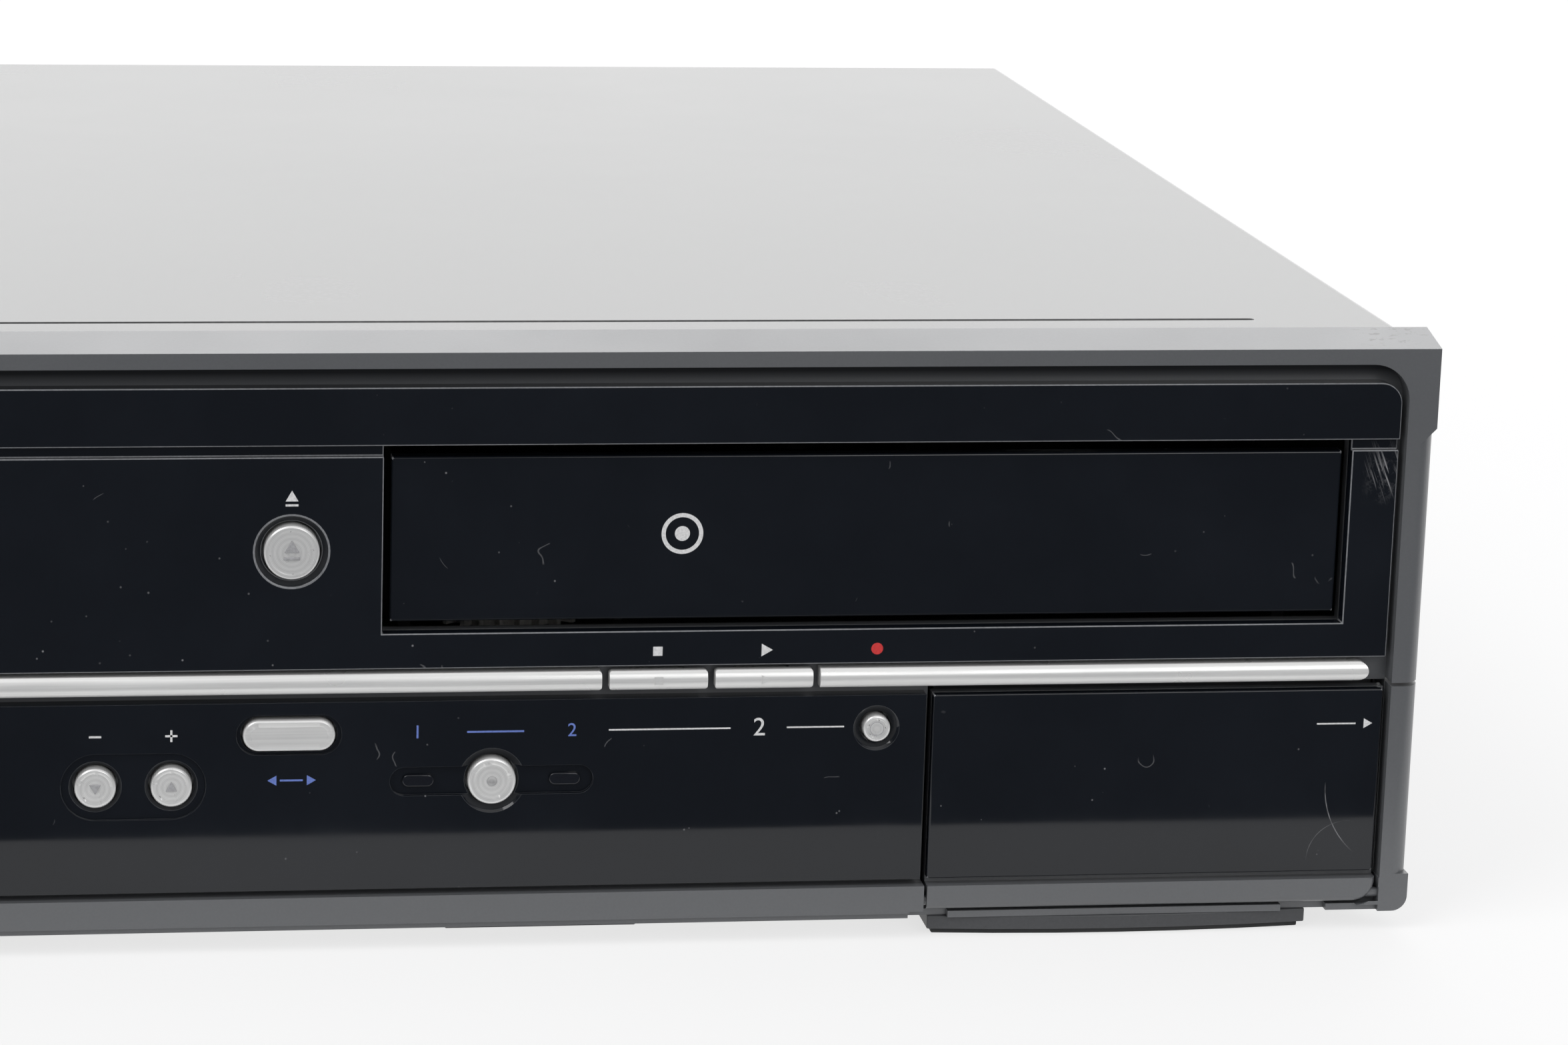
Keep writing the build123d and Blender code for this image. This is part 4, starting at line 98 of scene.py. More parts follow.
class Sheet:
    """A material's node tree, with short ways to add and join its nodes."""

    def __init__(self, name: str) -> None:
        """Starts an empty material with a shader and its output.

        Args:
            name: Name of the material.
        """
        self.material = bpy.data.materials.new(name)
        self.material.use_nodes = True
        self.tree = self.material.node_tree
        self.tree.nodes.clear()
        self.output = self.tree.nodes.new("ShaderNodeOutputMaterial")
        self.shader = self.tree.nodes.new("ShaderNodeBsdfPrincipled")
        self.join(self.shader.outputs[0], self.output.inputs[0])
        self.where = self.tree.nodes.new("ShaderNodeTexCoord").outputs["Object"]

    def join(self, source: bpy.types.NodeSocket, target: bpy.types.NodeSocket) -> None:
        """Links two sockets."""
        self.tree.links.new(source, target)

    def set(self, **values: object) -> None:
        """Sets constants on the shader's sockets.

        Args:
            **values: Socket names, with underscores for spaces.
        """
        for key, value in values.items():
            socket = self.shader.inputs[key.replace("_", " ")]
            socket.default_value = (*value, 1.0) if isinstance(value, tuple) else value

    def stretched(self, scale: Sequence[float], shift: Sequence[float] = (0, 0, 0)) -> bpy.types.NodeSocket:
        """Scales and moves the object's coordinates.

        Args:
            scale: Scale on each axis.
            shift: Point in metres that becomes the pattern's centre.

        Returns:
            The mapped vector.
        """
        node = self.tree.nodes.new("ShaderNodeMapping")
        node.vector_type = "POINT"
        node.inputs["Scale"].default_value = tuple(scale)
        node.inputs["Location"].default_value = tuple(-s * k for s, k in zip(shift, scale))
        self.join(self.where, node.inputs["Vector"])
        return node.outputs[0]

    def noise(self, vector: bpy.types.NodeSocket, scale: float, detail: float = 3.0,
              rough: float = 0.5) -> bpy.types.NodeSocket:
        """Adds a noise pattern.

        Args:
            vector: Coordinates that it is laid on.
            scale: Features in a metre.
            detail: Layers of finer features.
            rough: Weight of the finer layers.

        Returns:
            Its value from 0 to 1.
        """
        node = self.tree.nodes.new("ShaderNodeTexNoise")
        node.inputs["Scale"].default_value = scale
        node.inputs["Detail"].default_value = detail
        node.inputs["Roughness"].default_value = rough
        self.join(vector, node.inputs["Vector"])
        return node.outputs["Fac"]

    def cells(self, vector: bpy.types.NodeSocket, scale: float, feature: str = "F1") -> bpy.types.Node:
        """Adds a cell pattern.

        Args:
            vector: Coordinates that it is laid on.
            scale: Cells in a metre.
            feature: What the pattern measures in a cell.

        Returns:
            The pattern's node.
        """
        node = self.tree.nodes.new("ShaderNodeTexVoronoi")
        node.feature = feature
        node.inputs["Scale"].default_value = scale
        self.join(vector, node.inputs["Vector"])
        return node

    def rings(self, centre: Vector, across: Axis, pitch: float) -> bpy.types.NodeSocket:
        """Adds rings round an axis.

        Args:
            centre: A point on the axis, in metres.
            across: Direction of the axis.
            pitch: Distance from one ring to the next, in metres.

        Returns:
            A wave from 0 to 1 that runs outwards.
        """
        scale = [1.0, 1.0, 1.0]
        scale[across.value] = 0.0
        wave = self.calc("SINE", self.calc("MULTIPLY", self.length(scale, centre), 2 * math.pi / pitch))
        return self.calc("MULTIPLY_ADD", wave, 0.5, 0.5)

    def length(self, scale: Sequence[float], centre: Sequence[float]) -> bpy.types.NodeSocket:
        """Measures the distance from a point.

        Args:
            scale: Share of each axis in the distance.
            centre: The point, in metres.

        Returns:
            The distance.
        """
        node = self.tree.nodes.new("ShaderNodeVectorMath")
        node.operation = "LENGTH"
        self.join(self.stretched(scale, centre), node.inputs[0])
        return node.outputs["Value"]

    def calc(self, operation: str, *values: object) -> bpy.types.NodeSocket:
        """Adds a sum on sockets and numbers.

        Args:
            operation: Kind of sum.
            *values: Sockets or numbers, in the sum's order.

        Returns:
            The result.
        """
        node = self.tree.nodes.new("ShaderNodeMath")
        node.operation = operation
        for socket, value in zip(node.inputs, values):
            if isinstance(value, bpy.types.NodeSocket):
                self.join(value, socket)
            else:
                socket.default_value = value
        return node.outputs[0]

    def span(self, value: bpy.types.NodeSocket, low: float, high: float, out_low: float = 0.0,
             out_high: float = 1.0) -> bpy.types.NodeSocket:
        """Maps a value from one span to another and clamps it.

        Args:
            value: The value.
            low: Start of its span.
            high: End of its span.
            out_low: What the start becomes.
            out_high: What the end becomes.

        Returns:
            The mapped value.
        """
        node = self.tree.nodes.new("ShaderNodeMapRange")
        for key, number in zip(("From Min", "From Max", "To Min", "To Max"), (low, high, out_low, out_high)):
            node.inputs[key].default_value = number
        self.join(value, node.inputs["Value"])
        return node.outputs[0]

    def blend(self, factor: bpy.types.NodeSocket, first: object, second: object) -> bpy.types.NodeSocket:
        """Mixes two colours.

        Args:
            factor: Share of the second colour.
            first: First colour or its socket.
            second: Second colour or its socket.

        Returns:
            The mix.
        """
        node = self.tree.nodes.new("ShaderNodeMix")
        node.data_type = "RGBA"
        self.join(factor, node.inputs["Factor"])
        for index, colour in ((6, first), (7, second)):
            if isinstance(colour, bpy.types.NodeSocket):
                self.join(colour, node.inputs[index])
            else:
                node.inputs[index].default_value = (*colour, 1.0)
        return node.outputs[2]

    def inside(self, low: Vector, high: Vector, soft: float) -> bpy.types.NodeSocket:
        """Gives 1 inside a box and 0 outside it, with a soft edge.

        Args:
            low: Lowest corner, in metres.
            high: Highest corner, in metres.
            soft: Width of the soft edge, in metres.

        Returns:
            The mask.
        """
        parts = self.tree.nodes.new("ShaderNodeSeparateXYZ")
        self.join(self.where, parts.inputs[0])
        mask: Optional[bpy.types.NodeSocket] = None
        for socket, start, end in zip(parts.outputs, low, high):
            rise = self.span(socket, start - soft, start + soft)
            fall = self.span(socket, end - soft, end + soft, 1.0, 0.0)
            both = self.calc("MULTIPLY", rise, fall)
            mask = both if mask is None else self.calc("MULTIPLY", mask, both)
        return mask

    def relief(self, height: bpy.types.NodeSocket, depth: float, strength: float = 1.0) -> None:
        """Turns a height pattern into bump on the shader.

        Args:
            height: Pattern from 0 to 1.
            depth: Height of the pattern, in metres.
            strength: Share of the bump that shows.
        """
        bump = self.tree.nodes.new("ShaderNodeBump")
        bump.inputs["Strength"].default_value = strength
        bump.inputs["Distance"].default_value = depth
        self.join(height, bump.inputs["Height"])
        self.join(bump.outputs[0], self.shader.inputs["Normal"])

    def colour(self, socket: bpy.types.NodeSocket) -> None:
        """Feeds the base colour."""
        self.join(socket, self.shader.inputs["Base Color"])

    def roughness(self, socket: bpy.types.NodeSocket) -> None:
        """Feeds the roughness."""
        self.join(socket, self.shader.inputs["Roughness"])


@dataclass(frozen=True)
class Patch:
    """A shaded or chipped place on a plastic piece: a box in millimetres, its soft edge and its colour."""

    x: Point
    depth: Point
    z: Point
    soft: float
    colour: Colour
    fleck: float = 0.0

    def mask(self, sheet: Sheet) -> bpy.types.NodeSocket:
        """Marks the patch, broken into flecks if it has any.

        Args:
            sheet: The material's nodes.

        Returns:
            1 in the patch and 0 elsewhere.
        """
        low, high = (place(self.x[end], self.depth[end], self.z[end]) for end in (0, 1))
        mask = sheet.inside(low, high, self.soft * MM)
        if self.fleck:
            where = sheet.stretched((self.fleck, self.fleck * 2, self.fleck * 2))
            flecks = sheet.noise(where, 1.0, 4.0, 0.7)
            mask = sheet.calc("MULTIPLY", mask, sheet.span(flecks, 0.57, 0.62))
        return mask


@dataclass(frozen=True)
class Plastic:
    """Moulded plastic with a spark-eroded grain: its features in a metre and their depth in metres."""

    name: str
    colour: Colour
    rough: float = 0.45
    grain: float = 2600.0
    depth: float = 0.00002
    tint: float = 0.12
    metal: float = 0.0
    coat: float = 0.0
    patches: tuple[Patch, ...] = ()

    def build(self) -> bpy.types.Material:
        """Makes the material.

        Returns:
            The material.
        """
        sheet = Sheet(self.name)
        fine = sheet.noise(sheet.where, self.grain, 2.0)
        broad = sheet.noise(sheet.where, 26.0, 4.0)
        dark, light = toned(self.colour, 1 - self.tint), toned(self.colour, 1 + self.tint)
        mottle = sheet.calc("MULTIPLY_ADD", fine, 0.5, sheet.calc("MULTIPLY", broad, 0.5))
        tone = sheet.blend(sheet.span(mottle, 0.3, 0.7), dark, light)
        for patch in self.patches:
            tone = sheet.blend(patch.mask(sheet), tone, patch.colour)
        sheet.colour(tone)
        sheet.roughness(sheet.span(broad, 0.3, 0.7, self.rough - 0.05, self.rough + 0.07))
        sheet.relief(fine, self.depth)
        sheet.set(Metallic=self.metal, Coat_Weight=self.coat, Coat_Roughness=0.25)
        return sheet.material


@dataclass(frozen=True)
class Scuff:
    """A rubbed or scratched patch on a gloss panel, in millimetres of X and height."""

    x0: float
    x1: float
    z0: float
    z1: float
    lean: float = 0.0
    strength: float = 0.5


@dataclass(frozen=True)
class Scratch:
    """One fine curved scratch in millimetres: its arc's centre and radius, and the heights of its ends."""

    x: float
    z: float
    radius: float
    z0: float
    z1: float
    width: float = 0.11
    strength: float = 0.5


@dataclass(frozen=True)
class GlossPanel:
    """Polished dark panel with settled dust, fibres, scratches and scuffs."""

    name: str
    colour: Colour
    rough: float = 0.05
    dust: float = 0.5
    scuffs: tuple[Scuff, ...] = ()
    arcs: tuple[Scratch, ...] = ()
    fibre: float = 0.2
    worn: Colour = (0.34, 0.34, 0.35)
    scuff_grain: tuple[float, float, float] = (3300.0, 100.0, 130.0)
    scuff_soft: float = 0.0022
    scratch_soft: float = 0.0012

    def fibres(self, sheet: Sheet) -> bpy.types.NodeSocket:
        """Makes a few short fibres.

        Args:
            sheet: The material's nodes.

        Returns:
            Their mask.
        """
        bent = sheet.noise(sheet.stretched((90.0, 90.0, 90.0)), 1.0, 2.0)
        line = sheet.calc("ABSOLUTE", sheet.calc("SUBTRACT", bent, 0.5))
        thin = sheet.span(line, 0.002, 0.005, 1.0, 0.0)
        spread = sheet.noise(sheet.stretched((130.0, 130.0, 130.0), (0.3, 0.1, 0.2)), 1.0, 1.0)
        rare = sheet.span(spread, 0.7, 0.72)
        return sheet.calc("MULTIPLY", sheet.calc("MULTIPLY", thin, rare), self.fibre)

    def settled(self, sheet: Sheet) -> bpy.types.NodeSocket:
        """Makes the settled dust.

        Args:
            sheet: The material's nodes.

        Returns:
            Its mask.
        """
        specks = sheet.cells(sheet.stretched((1, 1, 1)), 420.0)
        seen = sheet.span(specks.outputs["Distance"], 0.04, 0.09, 1.0, 0.0)
        rare = sheet.span(sheet.noise(sheet.where, 130.0, 2.0), 0.58, 0.68)
        return sheet.calc("MULTIPLY", sheet.calc("MULTIPLY", seen, rare), self.dust)

    def rubbed(self, sheet: Sheet, scuff: Scuff) -> bpy.types.NodeSocket:
        """Makes one scuff, of leaning streaks over faint blots.

        Args:
            sheet: The material's nodes.
            scuff: The scuff.

        Returns:
            Its mask.
        """
        low = Vector((scuff.x0 * MM, -FAR, scuff.z0 * MM))
        high = Vector((scuff.x1 * MM, FAR, scuff.z1 * MM))
        patch = sheet.inside(low, high, self.scuff_soft)
        turned = sheet.tree.nodes.new("ShaderNodeVectorRotate")
        turned.rotation_type = "Y_AXIS"
        turned.inputs["Angle"].default_value = scuff.lean
        sheet.join(sheet.where, turned.inputs["Vector"])
        stretch = sheet.tree.nodes.new("ShaderNodeMapping")
        stretch.inputs["Scale"].default_value = self.scuff_grain
        sheet.join(turned.outputs[0], stretch.inputs["Vector"])
        streak = sheet.span(sheet.noise(stretch.outputs[0], 1.0, 3.0), 0.57, 0.66)
        blot = sheet.span(sheet.noise(sheet.where, 520.0, 6.0, 0.75), 0.5, 0.66)
        marks = sheet.calc("MULTIPLY", streak, patch)
        faint = sheet.calc("MULTIPLY", sheet.calc("MULTIPLY", blot, 0.35), patch)
        return sheet.calc("MULTIPLY", sheet.calc("MAXIMUM", marks, faint), scuff.strength)

    def scratch(self, sheet: Sheet, arc: Scratch) -> bpy.types.NodeSocket:
        """Makes one curved scratch, on the left half of its circle.

        Args:
            sheet: The material's nodes.
            arc: The scratch.

        Returns:
            Its mask.
        """
        length = sheet.length((1.0, 0.0, 1.0), (arc.x * MM, 0.0, arc.z * MM))
        away = sheet.calc("ABSOLUTE", sheet.calc("SUBTRACT", length, arc.radius * MM))
        line = sheet.span(away, arc.width * 0.3 * MM, arc.width * MM, 1.0, 0.0)
        low = Vector(((arc.x - 2 * arc.radius) * MM, -FAR, arc.z0 * MM))
        high = Vector((arc.x * MM, FAR, arc.z1 * MM))
        broken = sheet.span(sheet.noise(sheet.where, 420.0, 2.0), 0.35, 0.6, 0.25, 1.0)
        ends = sheet.calc("MULTIPLY", sheet.inside(low, high, self.scratch_soft), broken)
        return sheet.calc("MULTIPLY", sheet.calc("MULTIPLY", line, ends), arc.strength)

    def build(self) -> bpy.types.Material:
        """Makes the material.

        Returns:
            The material.
        """
        sheet = Sheet(self.name)
        dust = self.settled(sheet)
        haze = sheet.span(sheet.noise(sheet.where, 38.0, 5.0, 0.6), 0.42, 0.75)
        wear = self.fibres(sheet)
        for scuff in self.scuffs:
            wear = sheet.calc("MAXIMUM", wear, self.rubbed(sheet, scuff))
        for arc in self.arcs:
            wear = sheet.calc("MAXIMUM", wear, self.scratch(sheet, arc))
        mark = sheet.calc("MAXIMUM", dust, wear)
        base = sheet.blend(haze, self.colour, tuple(part * 1.25 + 0.0006 for part in self.colour))
        sheet.colour(sheet.blend(mark, base, self.worn))
        gloss = sheet.span(haze, 0.0, 1.0, self.rough, self.rough + 0.035)
        sheet.roughness(sheet.calc("MULTIPLY_ADD", mark, 0.5, gloss))
        sheet.relief(sheet.noise(sheet.where, 55.0, 2.0), 0.00004, 0.35)
        sheet.set(IOR=1.49)
        return sheet.material


@dataclass(frozen=True)
class PaintedSteel:
    """Sheet steel with a satin stoved paint."""

    name: str
    colour: Colour
    rough: float = 0.3
    coat: float = 1.0

    def build(self) -> bpy.types.Material:
        """Makes the material.

        Returns:
            The material.
        """
        sheet = Sheet(self.name)
        peel = sheet.noise(sheet.where, 1500.0, 3.0)
        speck = sheet.cells(sheet.stretched((1, 1, 1)), 900.0)
        flake = sheet.span(speck.outputs["Distance"], 0.1, 0.5, 1.0, 0.0)
        broad = sheet.noise(sheet.where, 11.0, 5.0, 0.6)
        dark, light = toned(self.colour, 0.86), toned(self.colour, 1.16)
        mix = sheet.calc("MULTIPLY_ADD", flake, 0.35, sheet.calc("MULTIPLY", broad, 0.65))
        sheet.colour(sheet.blend(sheet.span(mix, 0.25, 0.7), dark, light))
        sheet.roughness(sheet.span(broad, 0.3, 0.7, self.rough - 0.04, self.rough + 0.05))
        sheet.relief(peel, 0.000006, 0.5)
        sheet.set(IOR=1.6, Coat_Weight=self.coat, Coat_Roughness=0.16, Coat_IOR=1.7)
        return sheet.material


@dataclass(frozen=True)
class Silver:
    """Satin silver finish with a grain along one direction."""

    name: str
    colour: Colour = (0.74, 0.74, 0.73)
    grain: Axis = Axis.X
    rough: float = 0.3
    metal: float = 0.35

    def build(self) -> bpy.types.Material:
        """Makes the material.

        Returns:
            The material.
        """
        sheet = Sheet(self.name)
        scale = [2400.0, 2400.0, 2400.0]
        scale[self.grain.value] = 26.0
        brushed = sheet.noise(sheet.stretched(scale), 1.0, 4.0, 0.6)
        soft = sheet.noise(sheet.where, 60.0, 3.0)
        dark, light = toned(self.colour, 0.9), toned(self.colour, 1.08)
        sheet.colour(sheet.blend(sheet.span(brushed, 0.3, 0.7), dark, light))
        sheet.roughness(sheet.span(soft, 0.3, 0.7, self.rough - 0.04, self.rough + 0.06))
        sheet.relief(brushed, 0.000012, 0.6)
        sheet.set(Metallic=self.metal)
        return sheet.material


@dataclass(frozen=True)
class SpunSilver:
    """Turned silver face with fine rings round its own centre."""

    name: str
    centre: tuple[float, float, float]
    colour: Colour = (0.78, 0.78, 0.77)
    pitch: float = 0.00022
    across: Axis = Axis.Y
    rough: float = 0.26
    coarse: float = 3.7

    def build(self) -> bpy.types.Material:
        """Makes the material.

        Returns:
            The material.
        """
        sheet = Sheet(self.name)
        rings = sheet.rings(Vector(self.centre), self.across, self.pitch)
        coarse = sheet.rings(Vector(self.centre), self.across, self.pitch * self.coarse)
        cut = sheet.calc("MULTIPLY_ADD", coarse, 0.45, sheet.calc("MULTIPLY", rings, 0.55))
        dark, light = toned(self.colour, 0.84), toned(self.colour, 1.1)
        sheet.colour(sheet.blend(cut, dark, light))
        sheet.roughness(sheet.span(sheet.noise(sheet.where, 400.0), 0.3, 0.7, self.rough, self.rough + 0.08))
        sheet.relief(cut, 0.00001, 0.7)
        sheet.set(Metallic=0.45)
        return sheet.material


@dataclass(frozen=True)
class Zinc:
    """Zinc-plated steel with its crystal pattern."""

    name: str
    colour: Colour = (0.5, 0.5, 0.49)

    def build(self) -> bpy.types.Material:
        """Makes the material.

        Returns:
            The material.
        """
        sheet = Sheet(self.name)
        spangle = sheet.cells(sheet.stretched((1, 1, 1)), 190.0)
        tone = sheet.tree.nodes.new("ShaderNodeSeparateColor")
        sheet.join(spangle.outputs["Color"], tone.inputs[0])
        fine = sheet.noise(sheet.where, 900.0, 3.0)
        sheet.colour(sheet.blend(tone.outputs[0], toned(self.colour, 0.82), self.colour))
        sheet.roughness(sheet.span(tone.outputs[1], 0.0, 1.0, 0.28, 0.46))
        sheet.relief(fine, 0.000015, 0.5)
        sheet.set(Metallic=0.9)
        return sheet.material


@dataclass(frozen=True)
class Board:
    """Circuit board with its traces and solder mask."""

    name: str
    mask: Colour = (0.02, 0.13, 0.06)

    def build(self) -> bpy.types.Material:
        """Makes the material.

        Returns:
            The material.
        """
        sheet = Sheet(self.name)
        traces = sheet.cells(sheet.stretched((1, 1, 1)), 330.0, "DISTANCE_TO_EDGE")
        line = sheet.span(traces.outputs["Distance"], 0.05, 0.12, 1.0, 0.0)
        sheet.colour(sheet.blend(line, self.mask, toned(self.mask, 1.9)))
        sheet.roughness(sheet.span(sheet.noise(sheet.where, 800.0), 0.3, 0.7, 0.25, 0.45))
        sheet.relief(line, 0.00003)
        return sheet.material


@dataclass(frozen=True)
class Lens:
    """Tinted clear plastic of a window or a lamp."""

    name: str
    tint: Colour
    rough: float = 0.05
    clear: float = 0.9

    def build(self) -> bpy.types.Material:
        """Makes the material.

        Returns:
            The material.
        """
        sheet = Sheet(self.name)
        cloud = sheet.noise(sheet.where, 90.0, 3.0)
        sheet.colour(sheet.blend(sheet.span(cloud, 0.3, 0.7), toned(self.tint, 0.85), self.tint))
        sheet.roughness(sheet.span(cloud, 0.3, 0.7, self.rough, self.rough + 0.04))
        sheet.set(Transmission_Weight=self.clear, IOR=1.49)
        return sheet.material


@dataclass(frozen=True)
class Ink:
    """Screen-printed ink with a slightly uneven lay."""

    name: str
    colour: Colour

    def build(self) -> bpy.types.Material:
        """Makes the material.

        Returns:
            The material.
        """
        sheet = Sheet(self.name)
        lay = sheet.noise(sheet.where, 3200.0, 3.0)
        sheet.colour(sheet.blend(sheet.span(lay, 0.35, 0.6), toned(self.colour, 0.78), self.colour))
        sheet.roughness(sheet.span(lay, 0.3, 0.7, 0.4, 0.55))
        sheet.relief(lay, 0.00001, 0.4)
        return sheet.material


class Shop:
    """Keeps one material of each finish."""

    def __init__(self) -> None:
        """Starts with no material made."""
        self.made: dict[str, bpy.types.Material] = {}

    def get(self, finish: object) -> bpy.types.Material:
        """Gives a finish's material, and makes it when it is first asked for.

        Args:
            finish: The finish.

        Returns:
            Its material.
        """
        if finish.name not in self.made:
            self.made[finish.name] = finish.build()
        return self.made[finish.name]


SHOP = Shop()

NAVY_BLACK = (0.0052, 0.0066, 0.0095)
RECESS_SHADE = Patch((-216.0, 216.0), (1.8, 6.0), (91.7, 95.4), 1.1, (0.004, 0.005, 0.007))
CORNER_CHIPS = Patch((205.5, 216.2), (1.5, 8.5), (95.0, 99.0), 0.9, (0.012, 0.012, 0.014), 520.0)
BEZEL = Plastic("bezel_grey", (0.098, 0.102, 0.108), 0.36, 2400.0, 0.000004, 0.06, 0.0, 0.5,
                (RECESS_SHADE, CORNER_CHIPS))
# Painted highlight: a light grey on the rounded edges of the gloss fascias, doors and jack flap panel, in
# place of the light that those edges catch.
EDGE_HIGHLIGHT = Plastic("painted_edge_highlight", (0.19, 0.195, 0.205), 0.3, 2400.0, 0.000004, 0.3)
SEAM = Plastic("seam_shadow", (0.012, 0.012, 0.013), 0.6)
FOOT_GREY = Plastic("foot_grey", (0.05, 0.052, 0.056), 0.42, 2000.0)
FOOT_RUBBER = Plastic("foot_rubber", (0.02, 0.021, 0.022), 0.7, 1400.0, 0.00004)
DARK_PLASTIC = Plastic("dark_plastic", (0.024, 0.024, 0.026), 0.45)
SOCKET_PLASTIC = Plastic("socket_plastic", (0.012, 0.012, 0.013), 0.4)
WHITE_PLASTIC = Plastic("white_plastic", (0.66, 0.65, 0.62), 0.4)
COVER = PaintedSteel("cover_satin", (0.12, 0.121, 0.122), 0.24)
REAR = PaintedSteel("rear_satin", (0.11, 0.11, 0.112), 0.4, 0.3)
UPPER_GLOSS = GlossPanel("upper_gloss", NAVY_BLACK, scuffs=(Scuff(208.2, 211.6, 73.0, 79.4, 0.35, 0.9),))
STRIP_GLOSS = GlossPanel("door_gloss", NAVY_BLACK)
LOWER_GLOSS = GlossPanel("lower_gloss", NAVY_BLACK)
FLAP_GLOSS = GlossPanel("flap_gloss", NAVY_BLACK, arcs=(
    Scratch(218.0, 24.6, 15.0, 14.5, 24.0), Scratch(207.0, 12.0, 6.5, 13.0, 18.0, 0.09, 0.35)))
BAR_SILVER = Silver("bar_silver")
ZINC = Zinc("zinc_plate")
BOARD = Board("green_board")
SMOKED = Lens("smoked_window", (0.16, 0.17, 0.19), 0.04, 0.85)
LAMP_BLUE = Lens("lamp_lens", (0.012, 0.014, 0.02), 0.08, 0.35)
DISPLAY = Board("display_glass_green", (0.012, 0.03, 0.03))
WHITE_INK = Ink("white_ink", (0.7, 0.7, 0.7))
BLUE_INK = Ink("blue_ink", (0.13, 0.2, 0.55))
RED_INK = Ink("red_ink", (0.62, 0.03, 0.03))
GREY_INK = Ink("grey_ink", (0.36, 0.36, 0.37))
MOTOR_STEEL = Silver("motor_steel", (0.45, 0.45, 0.44), Axis.Z, 0.35, 0.9)
ALLOY = Silver("drum_alloy", (0.7, 0.7, 0.7), Axis.Z, 0.2, 0.95)
RUBBER = Plastic("roller_rubber", (0.018, 0.018, 0.019), 0.75, 1200.0, 0.00003)
SCREW = Silver("black_screw", (0.05, 0.05, 0.05), Axis.X, 0.35, 0.6)
NICKEL = Silver("nickel_shell", (0.6, 0.59, 0.55), Axis.Y, 0.25, 0.95)
YELLOW = Plastic("yellow_insert", (0.78, 0.55, 0.03), 0.4, 1800.0)
WHITE_INSERT = Plastic("white_insert", (0.72, 0.71, 0.69), 0.4, 1800.0)
RED_INSERT = Plastic("red_insert", (0.55, 0.03, 0.03), 0.4, 1800.0)


# ---------------------------------------------------------------- workbench


